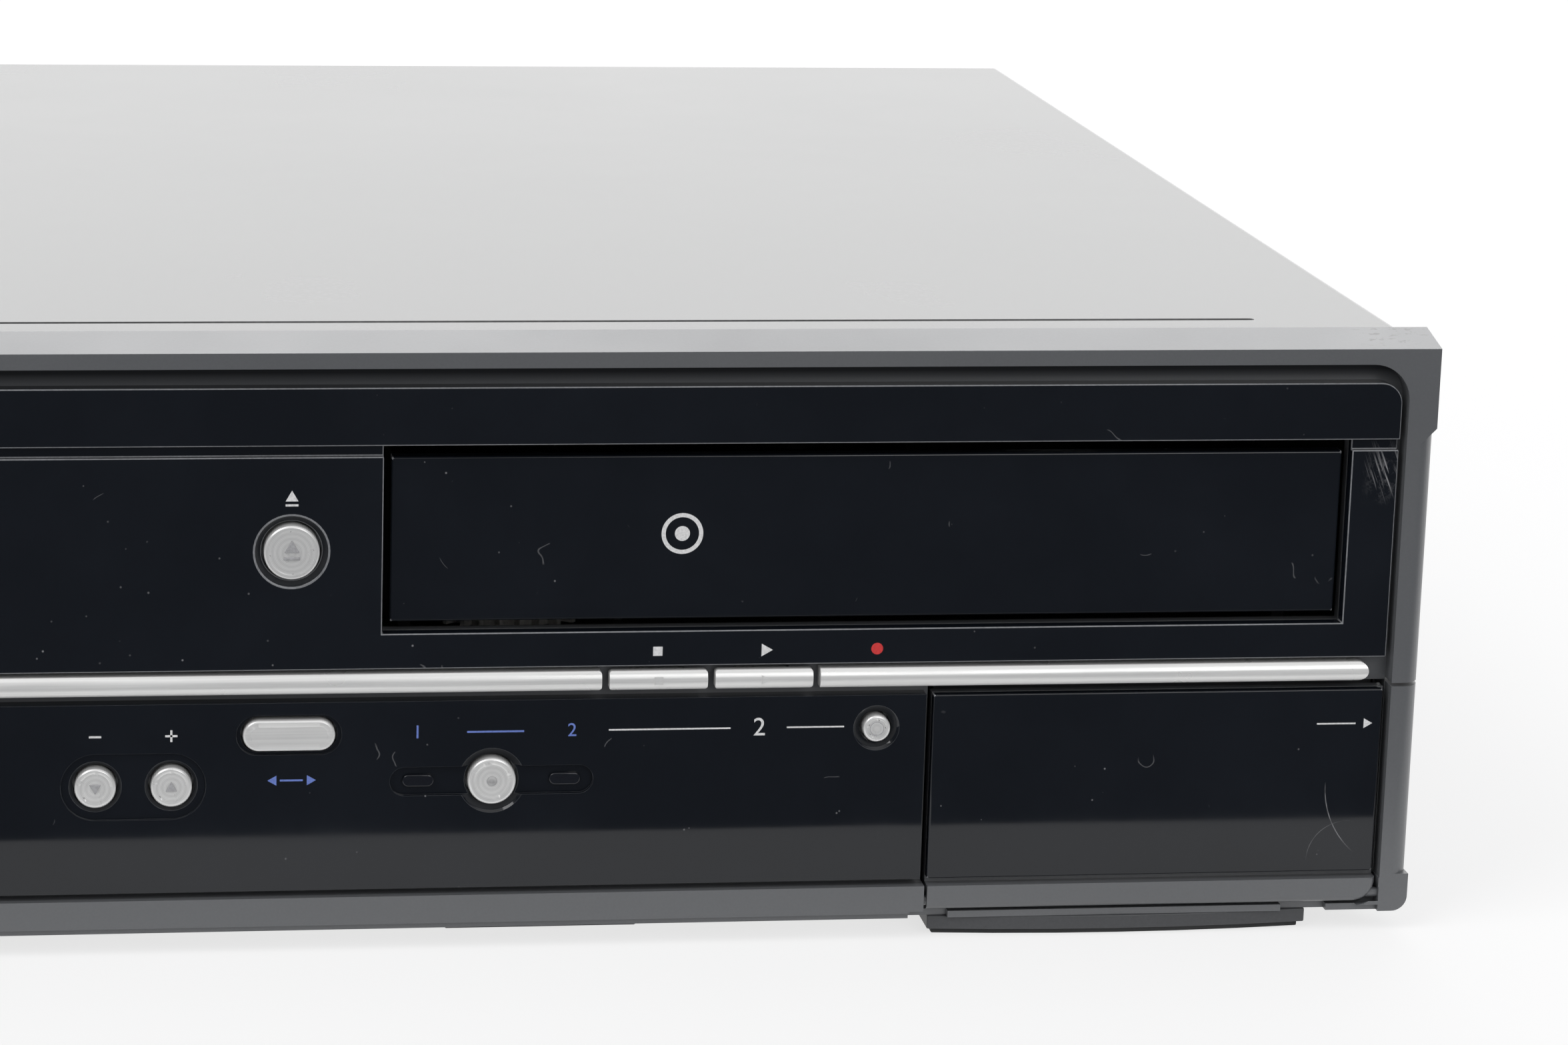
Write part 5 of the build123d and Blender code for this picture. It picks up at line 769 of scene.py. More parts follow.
class Bench:
    """The hand tools: primitives, edit-mode work and modifiers on one piece at a time."""

    @staticmethod
    def clear() -> None:
        """Leaves edit mode and deselects everything."""
        if bpy.context.object and bpy.context.object.mode != "OBJECT":
            bpy.ops.object.mode_set(mode="OBJECT")
        bpy.ops.object.select_all(action="DESELECT")

    @staticmethod
    def take(piece: bpy.types.Object) -> bpy.types.Object:
        """Selects one piece and makes it active.

        Args:
            piece: The piece.

        Returns:
            The piece.
        """
        Bench.clear()
        piece.select_set(True)
        bpy.context.view_layer.objects.active = piece
        return piece

    @staticmethod
    def settle(piece: bpy.types.Object) -> bpy.types.Object:
        """Puts a piece's place, turn and size into its mesh.

        Args:
            piece: The piece.

        Returns:
            The piece.
        """
        Bench.take(piece)
        bpy.ops.object.transform_apply(location=True, rotation=True, scale=True)
        return piece

    @staticmethod
    def block(name: str, low: Vector, high: Vector) -> bpy.types.Object:
        """Adds a cube stretched between two corners.

        Args:
            name: Name of the piece.
            low: Lowest corner, in metres.
            high: Highest corner, in metres.

        Returns:
            The piece.
        """
        Bench.clear()
        bpy.ops.mesh.primitive_cube_add(size=1, location=(low + high) / 2)
        piece = bpy.context.object
        piece.name = piece.data.name = name
        piece.scale = high - low
        return Bench.settle(piece)

    @staticmethod
    def rod(name: str, centre: Vector, radius: float, length: float, along: Axis,
            sides: int = 64, turn: float = 0.0) -> bpy.types.Object:
        """Adds a round or many-sided bar about its middle.

        Args:
            name: Name of the piece.
            centre: Middle of the bar, in metres.
            radius: Radius to the corners, in metres.
            length: Length, in metres.
            along: Direction of the bar.
            sides: Number of sides.
            turn: Turn about its own length, in radians.

        Returns:
            The piece.
        """
        Bench.clear()
        turns = {Axis.X: (0, math.pi / 2, 0), Axis.Y: (math.pi / 2, turn, 0), Axis.Z: (0, 0, turn)}
        bpy.ops.mesh.primitive_cylinder_add(vertices=sides, radius=radius, depth=length, location=centre,
                                            rotation=turns[along], end_fill_type="NGON")
        piece = bpy.context.object
        piece.name = piece.data.name = name
        return Bench.settle(piece)

    @staticmethod
    def pick(piece: bpy.types.Object, test: FaceTest) -> int:
        """Selects the faces that pass a test and goes into edit mode.

        Args:
            piece: The piece to work on.
            test: Says whether a face is wanted.

        Returns:
            How many faces were picked.
        """
        Bench.take(piece)
        bpy.ops.object.mode_set(mode="EDIT")
        bpy.ops.mesh.select_mode(type="FACE")
        bpy.ops.mesh.select_all(action="DESELECT")
        bpy.ops.object.mode_set(mode="OBJECT")
        wanted = [face for face in piece.data.polygons if test(face)]
        for face in wanted:
            face.select = True
        bpy.ops.object.mode_set(mode="EDIT")
        return len(wanted)

    @staticmethod
    def facing(axis: Axis, sign: int, plane: Optional[float] = None) -> FaceTest:
        """Makes a test for faces that look one way and may lie in one plane.

        Args:
            axis: Axis that the face looks along.
            sign: Direction on that axis.
            plane: Where the face lies on that axis, in metres.

        Returns:
            The test.
        """
        def test(face: bpy.types.MeshPolygon) -> bool:
            """Says whether a face looks the right way and lies in the plane."""
            if face.normal[axis.value] * sign < STRAIGHT:
                return False
            return plane is None or abs(face.center[axis.value] - plane) < SAME_PLANE
        return test

    @staticmethod
    def copy_of(node: str, name: str) -> bpy.types.Object:
        """Copies a fixed part's mesh, with its triangles merged into faces.

        Args:
            node: Name of the fixed part.
            name: Name of the new piece.

        Returns:
            The piece.
        """
        Bench.clear()
        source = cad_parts[node]
        mesh = source.data.copy()
        mesh.name = name
        mesh.materials.clear()
        for key in list(mesh.keys()):
            del mesh[key]
        piece = bpy.data.objects.new(name, mesh)
        bpy.context.scene.collection.objects.link(piece)
        Bench.take(piece)
        bpy.ops.object.mode_set(mode="EDIT")
        bpy.ops.mesh.select_all(action="SELECT")
        bpy.ops.mesh.remove_doubles(threshold=MERGE)
        bpy.ops.mesh.dissolve_limited(angle_limit=math.radians(FLAT_ANGLE))
        bpy.ops.object.mode_set(mode="OBJECT")
        return piece

    @staticmethod
    def round_edges(piece: bpy.types.Object, width: float, steps: int = 2, angle: float = 35.0,
                    rim: int = -1) -> bpy.types.Object:
        """Rounds a piece's sharp edges and smooths its shading.

        Args:
            piece: The piece.
            width: Width of the rounding, in metres.
            steps: Faces across the rounding.
            angle: Edges sharper than this are rounded, in degrees.
            rim: Finish of the rounding among the piece's finishes, or -1 for the one round it.

        Returns:
            The piece.
        """
        Bench.take(piece)
        bevel = piece.modifiers.new("edges", "BEVEL")
        bevel.width = width
        bevel.segments = steps
        bevel.limit_method = "ANGLE"
        bevel.angle_limit = math.radians(angle)
        bevel.use_clamp_overlap = True
        bevel.material = rim
        bevel.miter_outer = "MITER_SHARP"
        bpy.ops.object.modifier_apply(modifier=bevel.name)
        return Bench.smooth(piece)

    @staticmethod
    def smooth(piece: bpy.types.Object, angle: float = 40.0) -> bpy.types.Object:
        """Smooths the shading of all but the sharpest edges.

        Args:
            piece: The piece.
            angle: Edges sharper than this stay sharp, in degrees.

        Returns:
            The piece.
        """
        Bench.take(piece)
        bpy.ops.object.shade_smooth_by_angle(angle=math.radians(angle))
        level = piece.modifiers.new("even_shading", "WEIGHTED_NORMAL")
        level.keep_sharp = True
        level.weight = 80
        bpy.ops.object.modifier_apply(modifier=level.name)
        return piece

    @staticmethod
    def cut(piece: bpy.types.Object, tool: bpy.types.Object) -> None:
        """Cuts one piece out of another and throws the tool away.

        Args:
            piece: The piece to cut.
            tool: What is cut out of it.
        """
        Bench.take(piece)
        level = piece.modifiers.new("cut", "BOOLEAN")
        level.operation = "DIFFERENCE"
        level.solver = "EXACT"
        level.object = tool
        bpy.ops.object.modifier_apply(modifier=level.name)
        bpy.data.objects.remove(tool)

    @staticmethod
    def sink(piece: bpy.types.Object, inset: float, depth: float, toward: Vector) -> None:
        """Insets the picked faces and pushes them along a direction.

        Args:
            piece: The piece in edit mode.
            inset: Width of the rim, in metres.
            depth: How far the faces move, in metres.
            toward: Direction of the move.
        """
        bpy.ops.mesh.inset(thickness=inset, depth=0)
        bpy.ops.transform.translate(value=toward * depth)
        bpy.ops.object.mode_set(mode="OBJECT")

    @staticmethod
    def dish(piece: bpy.types.Object, rim: float, depth: float, plane: Optional[float] = None) -> None:
        """Sinks the middle of a piece's front face and leaves a rim round it.

        Args:
            piece: The piece.
            rim: Width of the rim, in millimetres.
            depth: How far the middle sinks, in millimetres.
            plane: Where the face lies on Y, in metres, if others look the same way.
        """
        if Bench.pick(piece, Bench.facing(Axis.Y, -1, plane)):
            Bench.sink(piece, rim * MM, depth * MM, BACKWARD)

    @staticmethod
    def dress(piece: bpy.types.Object, finish: object, body: str, slot: str,
              nodes: Sequence[str] = ()) -> None:
        """Gives a piece its finish and fixes it to the frame.

        Args:
            piece: The piece.
            finish: Its finish.
            body: Body that it moves with.
            slot: Material slot of the record that it belongs to; not used.
            nodes: Fixed parts that it stands for.
        """
        if not piece.data.materials:
            piece.data.materials.append(SHOP.get(finish))
        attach(piece, body)
        if nodes:
            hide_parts(*nodes)
        log.info("%s: %d faces", piece.name, len(piece.data.polygons))


@dataclass(frozen=True)
class Carried:
    """A fixed part shown with merged faces, a finish, and edges rounded in the same or another finish."""

    node: str
    finish: object
    body: str
    slot: str
    edge: float = 0.2
    # The rim finish of the gloss pieces is a painted highlight on their rounded edges.
    rim: Optional[Plastic] = None

    def build(self) -> bpy.types.Object:
        """Builds and dresses the piece.

        Returns:
            The piece.
        """
        piece = Bench.copy_of(self.node, self.node + "_shown")
        if self.rim:
            for finish in (self.finish, self.rim):
                piece.data.materials.append(SHOP.get(finish))
        Bench.round_edges(piece, self.edge * MM, rim=1 if self.rim else -1)
        Bench.dress(piece, self.finish, self.body, self.slot, [self.node])
        return piece


# ---------------------------------------------------------------- enclosure


@dataclass
class Enclosure:
    """Cover, bezel, fascias, feet and back."""

    parts: tuple[Carried, ...] = (
        Carried("bezel_upper", BEZEL, "machine", "bezel_plastic", 0.4),
        # The gloss fascias' rounded edges carry a painted highlight.
        Carried("fascia_upper", UPPER_GLOSS, "machine", "gloss_fascia", 0.18, EDGE_HIGHLIGHT),
        Carried("fascia_lower", LOWER_GLOSS, "machine", "gloss_fascia", 0.18, EDGE_HIGHLIGHT),
        Carried("trim_bars", BAR_SILVER, "machine", "silver_trim", 0.15),
        Carried("rear_panel", REAR, "machine", "rear_paint", 0.1),
        Carried("cover_screws", SCREW, "machine", "black_screw", 0.2),
        Carried("display_window", SMOKED, "machine", "smoked_window", 0.2),
    )
    cover: Carried = Carried("top_cover", COVER, "machine", "cover_paint", 0.45)
    seam_end: float = 8.7
    seam_low: float = 97.5
    notches: tuple[Point, ...] = ((135.4, 141.9), (196.8, 204.3))
    notch_depth: float = 2.4
    notch_heights: Point = (3.0, 4.7)
    bezel_edge: float = 0.3
    foot_split: float = 1.0
    foot_edge: float = 0.25
    tab_x: Point = (61.0, 91.6)
    tab_depth: Point = (2.6, 5.0)
    tab_z: Point = (2.5, 4.2)
    tab_edge: float = 0.25

    def build(self) -> None:
        """Builds every piece of the enclosure."""
        for part in self.parts:
            part.build()
        self.seam()
        self.lower_bezel()
        self.feet()
        self.front_tab()

    def seam(self) -> None:
        """Builds the cover and darkens its rounded front edge, where it meets the bezel."""
        piece = self.cover.build()
        piece.data.materials.append(SHOP.get(SEAM))
        behind = (FRONT + self.seam_end) * MM
        for face in piece.data.polygons:
            if face.center.y < behind and face.center.z > self.seam_low * MM and face.normal.z < STRAIGHT:
                face.material_index = 1

    def lower_bezel(self) -> None:
        """Builds the lower bezel with the notches in its base rail."""
        piece = Bench.copy_of("bezel_lower", "bezel_lower_shown")
        low, high = self.notch_heights
        for x0, x1 in self.notches:
            tool = Bench.block("notch_tool", place(x0, 0, low), place(x1, self.notch_depth, high))
            Bench.cut(piece, tool)
        Bench.round_edges(piece, self.bezel_edge * MM)
        Bench.dress(piece, BEZEL, "machine", "bezel_plastic", ["bezel_lower"])

    def feet(self) -> None:
        """Builds the feet with their rubber pads darker than the plastic."""
        piece = Bench.copy_of("feet", "feet_shown")
        Bench.round_edges(piece, self.foot_edge * MM)
        Bench.dress(piece, FOOT_GREY, "machine", "foot_plastic", ["feet"])
        piece.data.materials.append(SHOP.get(FOOT_RUBBER))
        for face in piece.data.polygons:
            if face.center.z < self.foot_split * MM + NEAR:
                face.material_index = 1

    def front_tab(self) -> None:
        """Builds the small tab of the pan that shows under the bezel."""
        low, high = (place(*corner) for corner in zip(self.tab_x, self.tab_depth, self.tab_z))
        piece = Bench.block("front_tab", low, high)
        Bench.dish(piece, 0.3, 0.15)
        Bench.round_edges(piece, self.tab_edge * MM)
        Bench.dress(piece, DARK_PLASTIC, "machine", "black_plastic")


# ---------------------------------------------------------------- front pieces


@dataclass
class Doors:
    """Cassette door, disc tray front and jack flap."""

    parts: tuple[Carried, ...] = (
        # The gloss doors' and the jack flap panel's rounded edges carry a painted highlight.
        Carried("cassette_door", STRIP_GLOSS, "cassette_door_body", "gloss_fascia", 0.2, EDGE_HIGHLIGHT),
        Carried("tray_front", STRIP_GLOSS, "tray", "gloss_fascia", 0.2, EDGE_HIGHLIGHT),
        Carried("jack_flap", BEZEL, "jack_flap_body", "bezel_plastic", 0.08),
        Carried("jack_flap_panel", FLAP_GLOSS, "jack_flap_body", "gloss_fascia", 0.18, EDGE_HIGHLIGHT),
    )

    def build(self) -> None:
        """Builds every door."""
        for part in self.parts:
            part.build()


@dataclass(frozen=True)
class Knob:
    """A round push button: start of its node's name, place, radius, and its face's rim and dish."""

    stem: str
    x: float
    z: float
    radius: float
    rim: float = 0.45
    dish: float = 0.12


@dataclass(frozen=True)
class Raised:
    """A raised mark on a button: its name, the button, place, half width or radius, and turn."""

    name: str
    stem: str
    x: float
    z: float
    reach: float
    turn: float = 0.0


@dataclass
class Buttons:
    """Round buttons, the keys in the silver bar and the dubbing button."""

    knobs: tuple[Knob, ...] = (
        Knob("disc_open", 36.2, 65.0, 4.32),
        Knob("power", -190.0, 27.4, 4.32),
        Knob("tape_eject", -171.0, 27.4, 3.22),
        Knob("channel_up", 17.7, 27.4, 3.22),
        Knob("channel_down", 5.9, 27.4, 3.22),
        Knob("select", 67.9, 27.6, 3.8, 0.7, 0.2),
        Knob("disc_record", 129.1, 35.3, 2.2, 0.35, 0.1),
        Knob("tape_record", -55.0, 35.3, 2.2, 0.35, 0.1),
    )
    keys: dict[str, float] = field(default_factory=lambda: {
        "disc_stop": 94.0, "disc_play": 110.8, "tape_stop": -94.0, "tape_play": -110.8})
    triangles: tuple[Raised, ...] = (
        Raised("open_triangle", "disc_open", 36.2, 65.7, 1.35),
        Raised("tape_eject_triangle", "tape_eject", -171.0, 27.9, 1.0),
        Raised("channel_up_triangle", "channel_up", 17.7, 27.3, 1.05),
        Raised("channel_down_triangle", "channel_down", 5.9, 27.5, 1.05, math.pi),
    )
    bars: tuple[Raised, ...] = (
        Raised("open_bar", "disc_open", 36.2, 64.1, 1.25),
        Raised("eject_bar", "tape_eject", -171.0, 26.6, 0.9),
    )
    front: float = 0.2
    bar_z: float = 43.65
    knob_edge: float = 0.12
    key_edge: float = 0.18
    mark_edge: float = 0.05

    def build(self) -> None:
        """Builds every button."""
        for knob in self.knobs:
            self.knob(knob)
        for stem, x in self.keys.items():
            self.key(stem, x)
        self.dubbing()
        for mark in self.triangles:
            self.triangle(mark)
        for mark in self.bars:
            self.bar(mark)

    def plane(self) -> float:
        """Gives the place of the buttons' faces on Y, in metres."""
        return (FRONT + self.front) * MM

    def knob(self, knob: Knob) -> None:
        """Builds one round button with a turned, slightly dished face.

        Args:
            knob: Its sizes.
        """
        node = knob.stem + "_button"
        piece = Bench.copy_of(node, node + "_shown")
        Bench.dish(piece, knob.rim, knob.dish, self.plane())
        Bench.round_edges(piece, self.knob_edge * MM)
        finish = SpunSilver(knob.stem + "_spun", tuple(place(knob.x, 0, knob.z)))
        Bench.dress(piece, finish, node + "_body", "silver_trim", [node])
        if knob.stem == "select":
            self.dimple(knob)
        if knob.stem.endswith("record"):
            self.ring(knob)

    def dimple(self, knob: Knob) -> None:
        """Adds the small turned dimple in the middle of the select button.

        Args:
            knob: The button's sizes.
        """
        centre = place(knob.x, self.front + 0.25, knob.z)
        piece = Bench.rod("select_dimple", centre, 0.8 * MM, 0.4 * MM, Axis.Y, 48)
        Bench.dish(piece, 0.3, 0.12)
        Bench.round_edges(piece, self.mark_edge * MM)
        finish = SpunSilver("dimple_spun", tuple(centre), (0.5, 0.5, 0.5), 0.00012)
        Bench.dress(piece, finish, "select_button_body", "silver_trim")

    def ring(self, knob: Knob) -> None:
        """Adds the raised ring on a record button's face.

        Args:
            knob: The button's sizes.
        """
        centre = place(knob.x, self.front + 0.15, knob.z)
        piece = Bench.rod(knob.stem + "_ring", centre, 1.15 * MM, 0.28 * MM, Axis.Y, 48)
        Bench.dish(piece, 0.3, 0.16)
        Bench.round_edges(piece, self.mark_edge * MM)
        Bench.dress(piece, GREY_INK, knob.stem + "_button_body", "silver_trim")

    def key(self, stem: str, x: float) -> None:
        """Builds one key of the silver bar with its raised symbol.

        Args:
            stem: Start of the node's name.
            x: Middle of the key, in millimetres.
        """
        node = stem + "_button"
        piece = Bench.copy_of(node, node + "_shown")
        Bench.round_edges(piece, self.key_edge * MM)
        Bench.dress(piece, BAR_SILVER, node + "_body", "silver_trim", [node])
        sides, radius = (4, 0.95) if stem.endswith("stop") else (3, 0.9)
        turn = math.pi / 4 if sides == 4 else math.pi / 2
        centre = place(x, self.front + 0.12, self.bar_z)
        mark = Bench.rod(stem + "_raised_mark", centre, radius * MM, 0.36 * MM, Axis.Y, sides, turn)
        Bench.dish(mark, 0.16, 0.1)
        Bench.round_edges(mark, self.mark_edge * MM)
        Bench.dress(mark, BAR_SILVER, node + "_body", "silver_trim")

    def dubbing(self) -> None:
        """Builds the long dubbing button with its flat middle sunk a little."""
        piece = Bench.copy_of("dubbing_button", "dubbing_button_shown")
        Bench.dish(piece, 0.7, 0.18, self.plane())
        Bench.round_edges(piece, self.knob_edge * MM)
        Bench.dress(piece, BAR_SILVER, "dubbing_button_body", "silver_trim", ["dubbing_button"])

    def triangle(self, mark: Raised) -> None:
        """Adds one raised triangle.

        Args:
            mark: The triangle, with the radius to its corners.
        """
        centre = place(mark.x, 0.31, mark.z)
        piece = Bench.rod(mark.name, centre, mark.reach * MM, 0.38 * MM, Axis.Y, 3, mark.turn)
        Bench.round_edges(piece, 0.07 * MM)
        Bench.dress(piece, GREY_INK, mark.stem + "_button_body", "silver_trim")

    def bar(self, mark: Raised) -> None:
        """Adds the raised bar under an opening button's triangle.

        Args:
            mark: The bar, with half its width.
        """
        low = place(mark.x - mark.reach, 0.12, mark.z - 0.24)
        piece = Bench.block(mark.name, low, place(mark.x + mark.reach, 0.5, mark.z + 0.24))
        Bench.round_edges(piece, 0.06 * MM)
        Bench.dress(piece, GREY_INK, mark.stem + "_button_body", "silver_trim")


# ---------------------------------------------------------------- printed marks


class Mark(Enum):
    """Plain shapes that stand where the front has print."""

    SQUARE = "square"
    TRIANGLE = "triangle"
    DOT = "dot"
    RING = "ring"
    LINE = "line"
    DIGIT = "digit"


@dataclass(frozen=True)
class Print:
    """One printed mark: shape, middle and size in millimetres, ink, and the body and depth it lies at."""

    name: str
    mark: Mark
    x: float
    z: float
    size: float
    ink: Ink
    body: str = "machine"
    depth: float = 0.8
    turn: float = 0.0
    width: float = 0.0
    text: str = ""


@dataclass
class Printing:
    """All the print on the front, in generic shapes and plain numbers."""

    thickness: float = 0.03
    sunk: float = 0.005
    edge: float = 0.008
    ring_width: float = 0.2
    type_size: float = 1.4
    prints: tuple[Print, ...] = (
        Print("stop_print", Mark.SQUARE, 93.8, 48.3, 1.5, WHITE_INK, depth=1.0),
        Print("play_print", Mark.TRIANGLE, 110.9, 48.3, 1.2, WHITE_INK, depth=1.0, turn=90),
        Print("record_print", Mark.DOT, 128.8, 48.3, 0.95, RED_INK, depth=1.0),
        Print("tape_stop_print", Mark.SQUARE, -93.8, 48.3, 1.5, WHITE_INK, depth=1.0),
        Print("tape_play_print", Mark.TRIANGLE, -110.9, 48.3, 1.2, WHITE_INK, depth=1.0, turn=90),
        Print("tape_record_print", Mark.DOT, -55.0, 39.1, 0.6, RED_INK),
        Print("open_print_triangle", Mark.TRIANGLE, 36.2, 73.6, 1.15, WHITE_INK, depth=1.0),
        Print("open_print_line", Mark.LINE, 36.2, 72.4, 0.34, WHITE_INK, depth=1.0, width=2.0),
        Print("tray_ring", Mark.RING, 97.4, 67.0, 3.3, WHITE_INK, "tray", 2.4),
        Print("tray_dot", Mark.DOT, 97.4, 67.0, 1.2, WHITE_INK, "tray", 2.4),
        Print("up_print", Mark.LINE, 17.7, 35.6, 0.34, WHITE_INK, width=1.9),
        Print("up_print_cross", Mark.LINE, 17.7, 35.6, 1.9, WHITE_INK, width=0.34),
        Print("down_print", Mark.LINE, 5.9, 35.6, 0.34, WHITE_INK, width=1.9),
        Print("dub_left", Mark.TRIANGLE, 33.6, 28.1, 0.95, BLUE_INK, turn=-90),
        Print("dub_line", Mark.LINE, 36.4, 28.1, 0.3, BLUE_INK, width=3.6),
        Print("dub_right", Mark.TRIANGLE, 39.3, 28.1, 0.95, BLUE_INK, turn=90),
        Print("select_one", Mark.DIGIT, 56.1, 35.6, 2.2, BLUE_INK, text="1"),
        Print("select_line", Mark.LINE, 68.4, 35.6, 0.3, BLUE_INK, width=9.0),
        Print("select_two", Mark.DIGIT, 80.5, 35.6, 2.2, BLUE_INK, text="2"),
        Print("disc_line_left", Mark.LINE, 96.0, 35.6, 0.25, WHITE_INK, width=19.4),
        Print("disc_number", Mark.DIGIT, 110.3, 35.6, 3.0, WHITE_INK, text="2"),
        Print("disc_line_right", Mark.LINE, 119.3, 35.6, 0.25, WHITE_INK, width=9.2),
        Print("tape_line_left", Mark.LINE, -96.0, 39.4, 0.25, WHITE_INK, width=19.4),
        Print("tape_number", Mark.DIGIT, -80.6, 39.4, 1.9, WHITE_INK, text="1"),
        Print("tape_line_right", Mark.LINE, -70.0, 39.4, 0.25, WHITE_INK, width=16.0),
        Print("flap_print", Mark.TRIANGLE, 209.2, 34.9, 0.95, WHITE_INK, "jack_flap_body", 0.8, 90),
        Print("flap_line", Mark.LINE, 204.2, 34.9, 0.25, WHITE_INK, "jack_flap_body", 0.8, 0, 6.4),
        Print("power_print", Mark.RING, -190.0, 35.6, 1.2, WHITE_INK),
        Print("eject_print_triangle", Mark.TRIANGLE, -171.0, 35.9, 1.0, WHITE_INK),
        Print("eject_print_line", Mark.LINE, -171.0, 34.8, 0.3, WHITE_INK, width=1.8),
    )

    def build(self) -> None:
        """Lays every mark on its surface."""
        makers = {Mark.SQUARE: self.square, Mark.TRIANGLE: self.sided, Mark.DOT: self.sided,
                  Mark.RING: self.ring, Mark.LINE: self.line, Mark.DIGIT: self.digit}
        for item in self.prints:
            piece = makers[item.mark](item)
            Bench.dress(piece, item.ink, item.body, "gloss_fascia")

    def layer(self, item: Print) -> Vector:
        """Gives the middle of a mark's thin layer of ink."""
        return place(item.x, item.depth - self.thickness / 2 + self.sunk, item.z)

    def square(self, item: Print) -> bpy.types.Object:
        """Makes a filled square and returns it."""
        half = item.size / 2
        return self.plate(item, half, half)

    def line(self, item: Print) -> bpy.types.Object:
        """Makes a straight line and returns it."""
        return self.plate(item, item.width / 2, item.size / 2)

    def plate(self, item: Print, half_x: float, half_z: float) -> bpy.types.Object:
        """Makes a thin upright plate with softened corners.

        Args:
            item: The mark.
            half_x: Half its width, in millimetres.
            half_z: Half its height, in millimetres.

        Returns:
            The piece.
        """
        half = Vector((half_x, self.thickness / 2, half_z)) * MM
        centre = self.layer(item)
        piece = Bench.block(item.name, centre - half, centre + half)
        return Bench.round_edges(piece, self.edge * MM, 1)

    def sided(self, item: Print) -> bpy.types.Object:
        """Makes a triangle or a dot.

        Args:
            item: The mark, with the radius to its corners.

        Returns:
            The piece.
        """
        sides = 3 if item.mark is Mark.TRIANGLE else 40
        piece = Bench.rod(item.name, self.layer(item), item.size * MM, self.thickness * MM, Axis.Y, sides,
                          math.radians(item.turn))
        return Bench.round_edges(piece, self.edge * MM, 1)

    def ring(self, item: Print) -> bpy.types.Object:
        """Makes a flat ring.

        Args:
            item: The mark, with the ring's outer radius.

        Returns:
            The piece.
        """
        piece = Bench.rod(item.name, self.layer(item), item.size * MM, self.thickness * MM, Axis.Y)
        for sign in (-1, 1):
            Bench.pick(piece, Bench.facing(Axis.Y, sign))
            bpy.ops.mesh.inset(thickness=item.size * self.ring_width * MM, depth=0)
            bpy.ops.mesh.delete(type="FACE")
            bpy.ops.object.mode_set(mode="OBJECT")
        Bench.take(piece)
        bpy.ops.object.mode_set(mode="EDIT")
        bpy.ops.mesh.select_mode(type="EDGE")
        bpy.ops.mesh.select_all(action="DESELECT")
        bpy.ops.mesh.select_non_manifold()
        bpy.ops.mesh.bridge_edge_loops()
        bpy.ops.mesh.select_all(action="SELECT")
        bpy.ops.mesh.normals_make_consistent(inside=False)
        bpy.ops.object.mode_set(mode="OBJECT")
        return Bench.smooth(piece)

    def digit(self, item: Print) -> bpy.types.Object:
        """Makes a plain number.

        Args:
            item: The mark, with the number's height.

        Returns:
            The piece.
        """
        Bench.clear()
        bpy.ops.object.text_add(location=(0, 0, 0))
        piece = bpy.context.object
        piece.name = item.name
        piece.data.body = item.text
        piece.data.size = item.size * self.type_size * MM
        piece.data.align_x = piece.data.align_y = "CENTER"
        piece.data.extrude = self.thickness / 2 * MM
        bpy.ops.object.convert(target="MESH")
        piece = bpy.context.object
        piece.rotation_euler = (math.pi / 2, 0, 0)
        piece.location = self.layer(item)
        return Bench.settle(piece)


# ---------------------------------------------------------------- details


@dataclass
class Lamps:
    """The two indicator lenses beside the select button."""

    xs: tuple[float, float] = (56.3, 79.5)
    z: float = 27.6
    length: float = 5.0
    height: float = 2.0
    thickness: float = 0.8
    front: float = 1.0
    edge: float = 0.25

    def build(self) -> None:
        """Builds both lenses."""
        for side, x in zip(Side, self.xs):
            self.lens(f"lamp_{side.name.lower()}", x)

    def lens(self, name: str, x: float) -> None:
        """Builds one lens by pulling a round bar's halves apart.

        Args:
            name: Name of the piece.
            x: Middle, in millimetres.
        """
        centre = place(x, self.front + self.thickness / 2, self.z)
        piece = Bench.rod(name, centre, self.height / 2 * MM, self.thickness * MM, Axis.Y, 48)
        reach = (self.length - self.height) / 2 * MM
        for sign in (-1, 1):
            Bench.take(piece)
            bpy.ops.object.mode_set(mode="EDIT")
            bpy.ops.mesh.select_mode(type="VERT")
            bpy.ops.mesh.select_all(action="DESELECT")
            bpy.ops.object.mode_set(mode="OBJECT")
            for vertex in piece.data.vertices:
                vertex.select = (vertex.co.x - centre.x) * sign > NEAR
            bpy.ops.object.mode_set(mode="EDIT")
            bpy.ops.transform.translate(value=(sign * reach, 0, 0))
            bpy.ops.object.mode_set(mode="OBJECT")
        Bench.round_edges(piece, self.edge * MM, 3)
        Bench.dress(piece, LAMP_BLUE, "machine", "smoked_window")


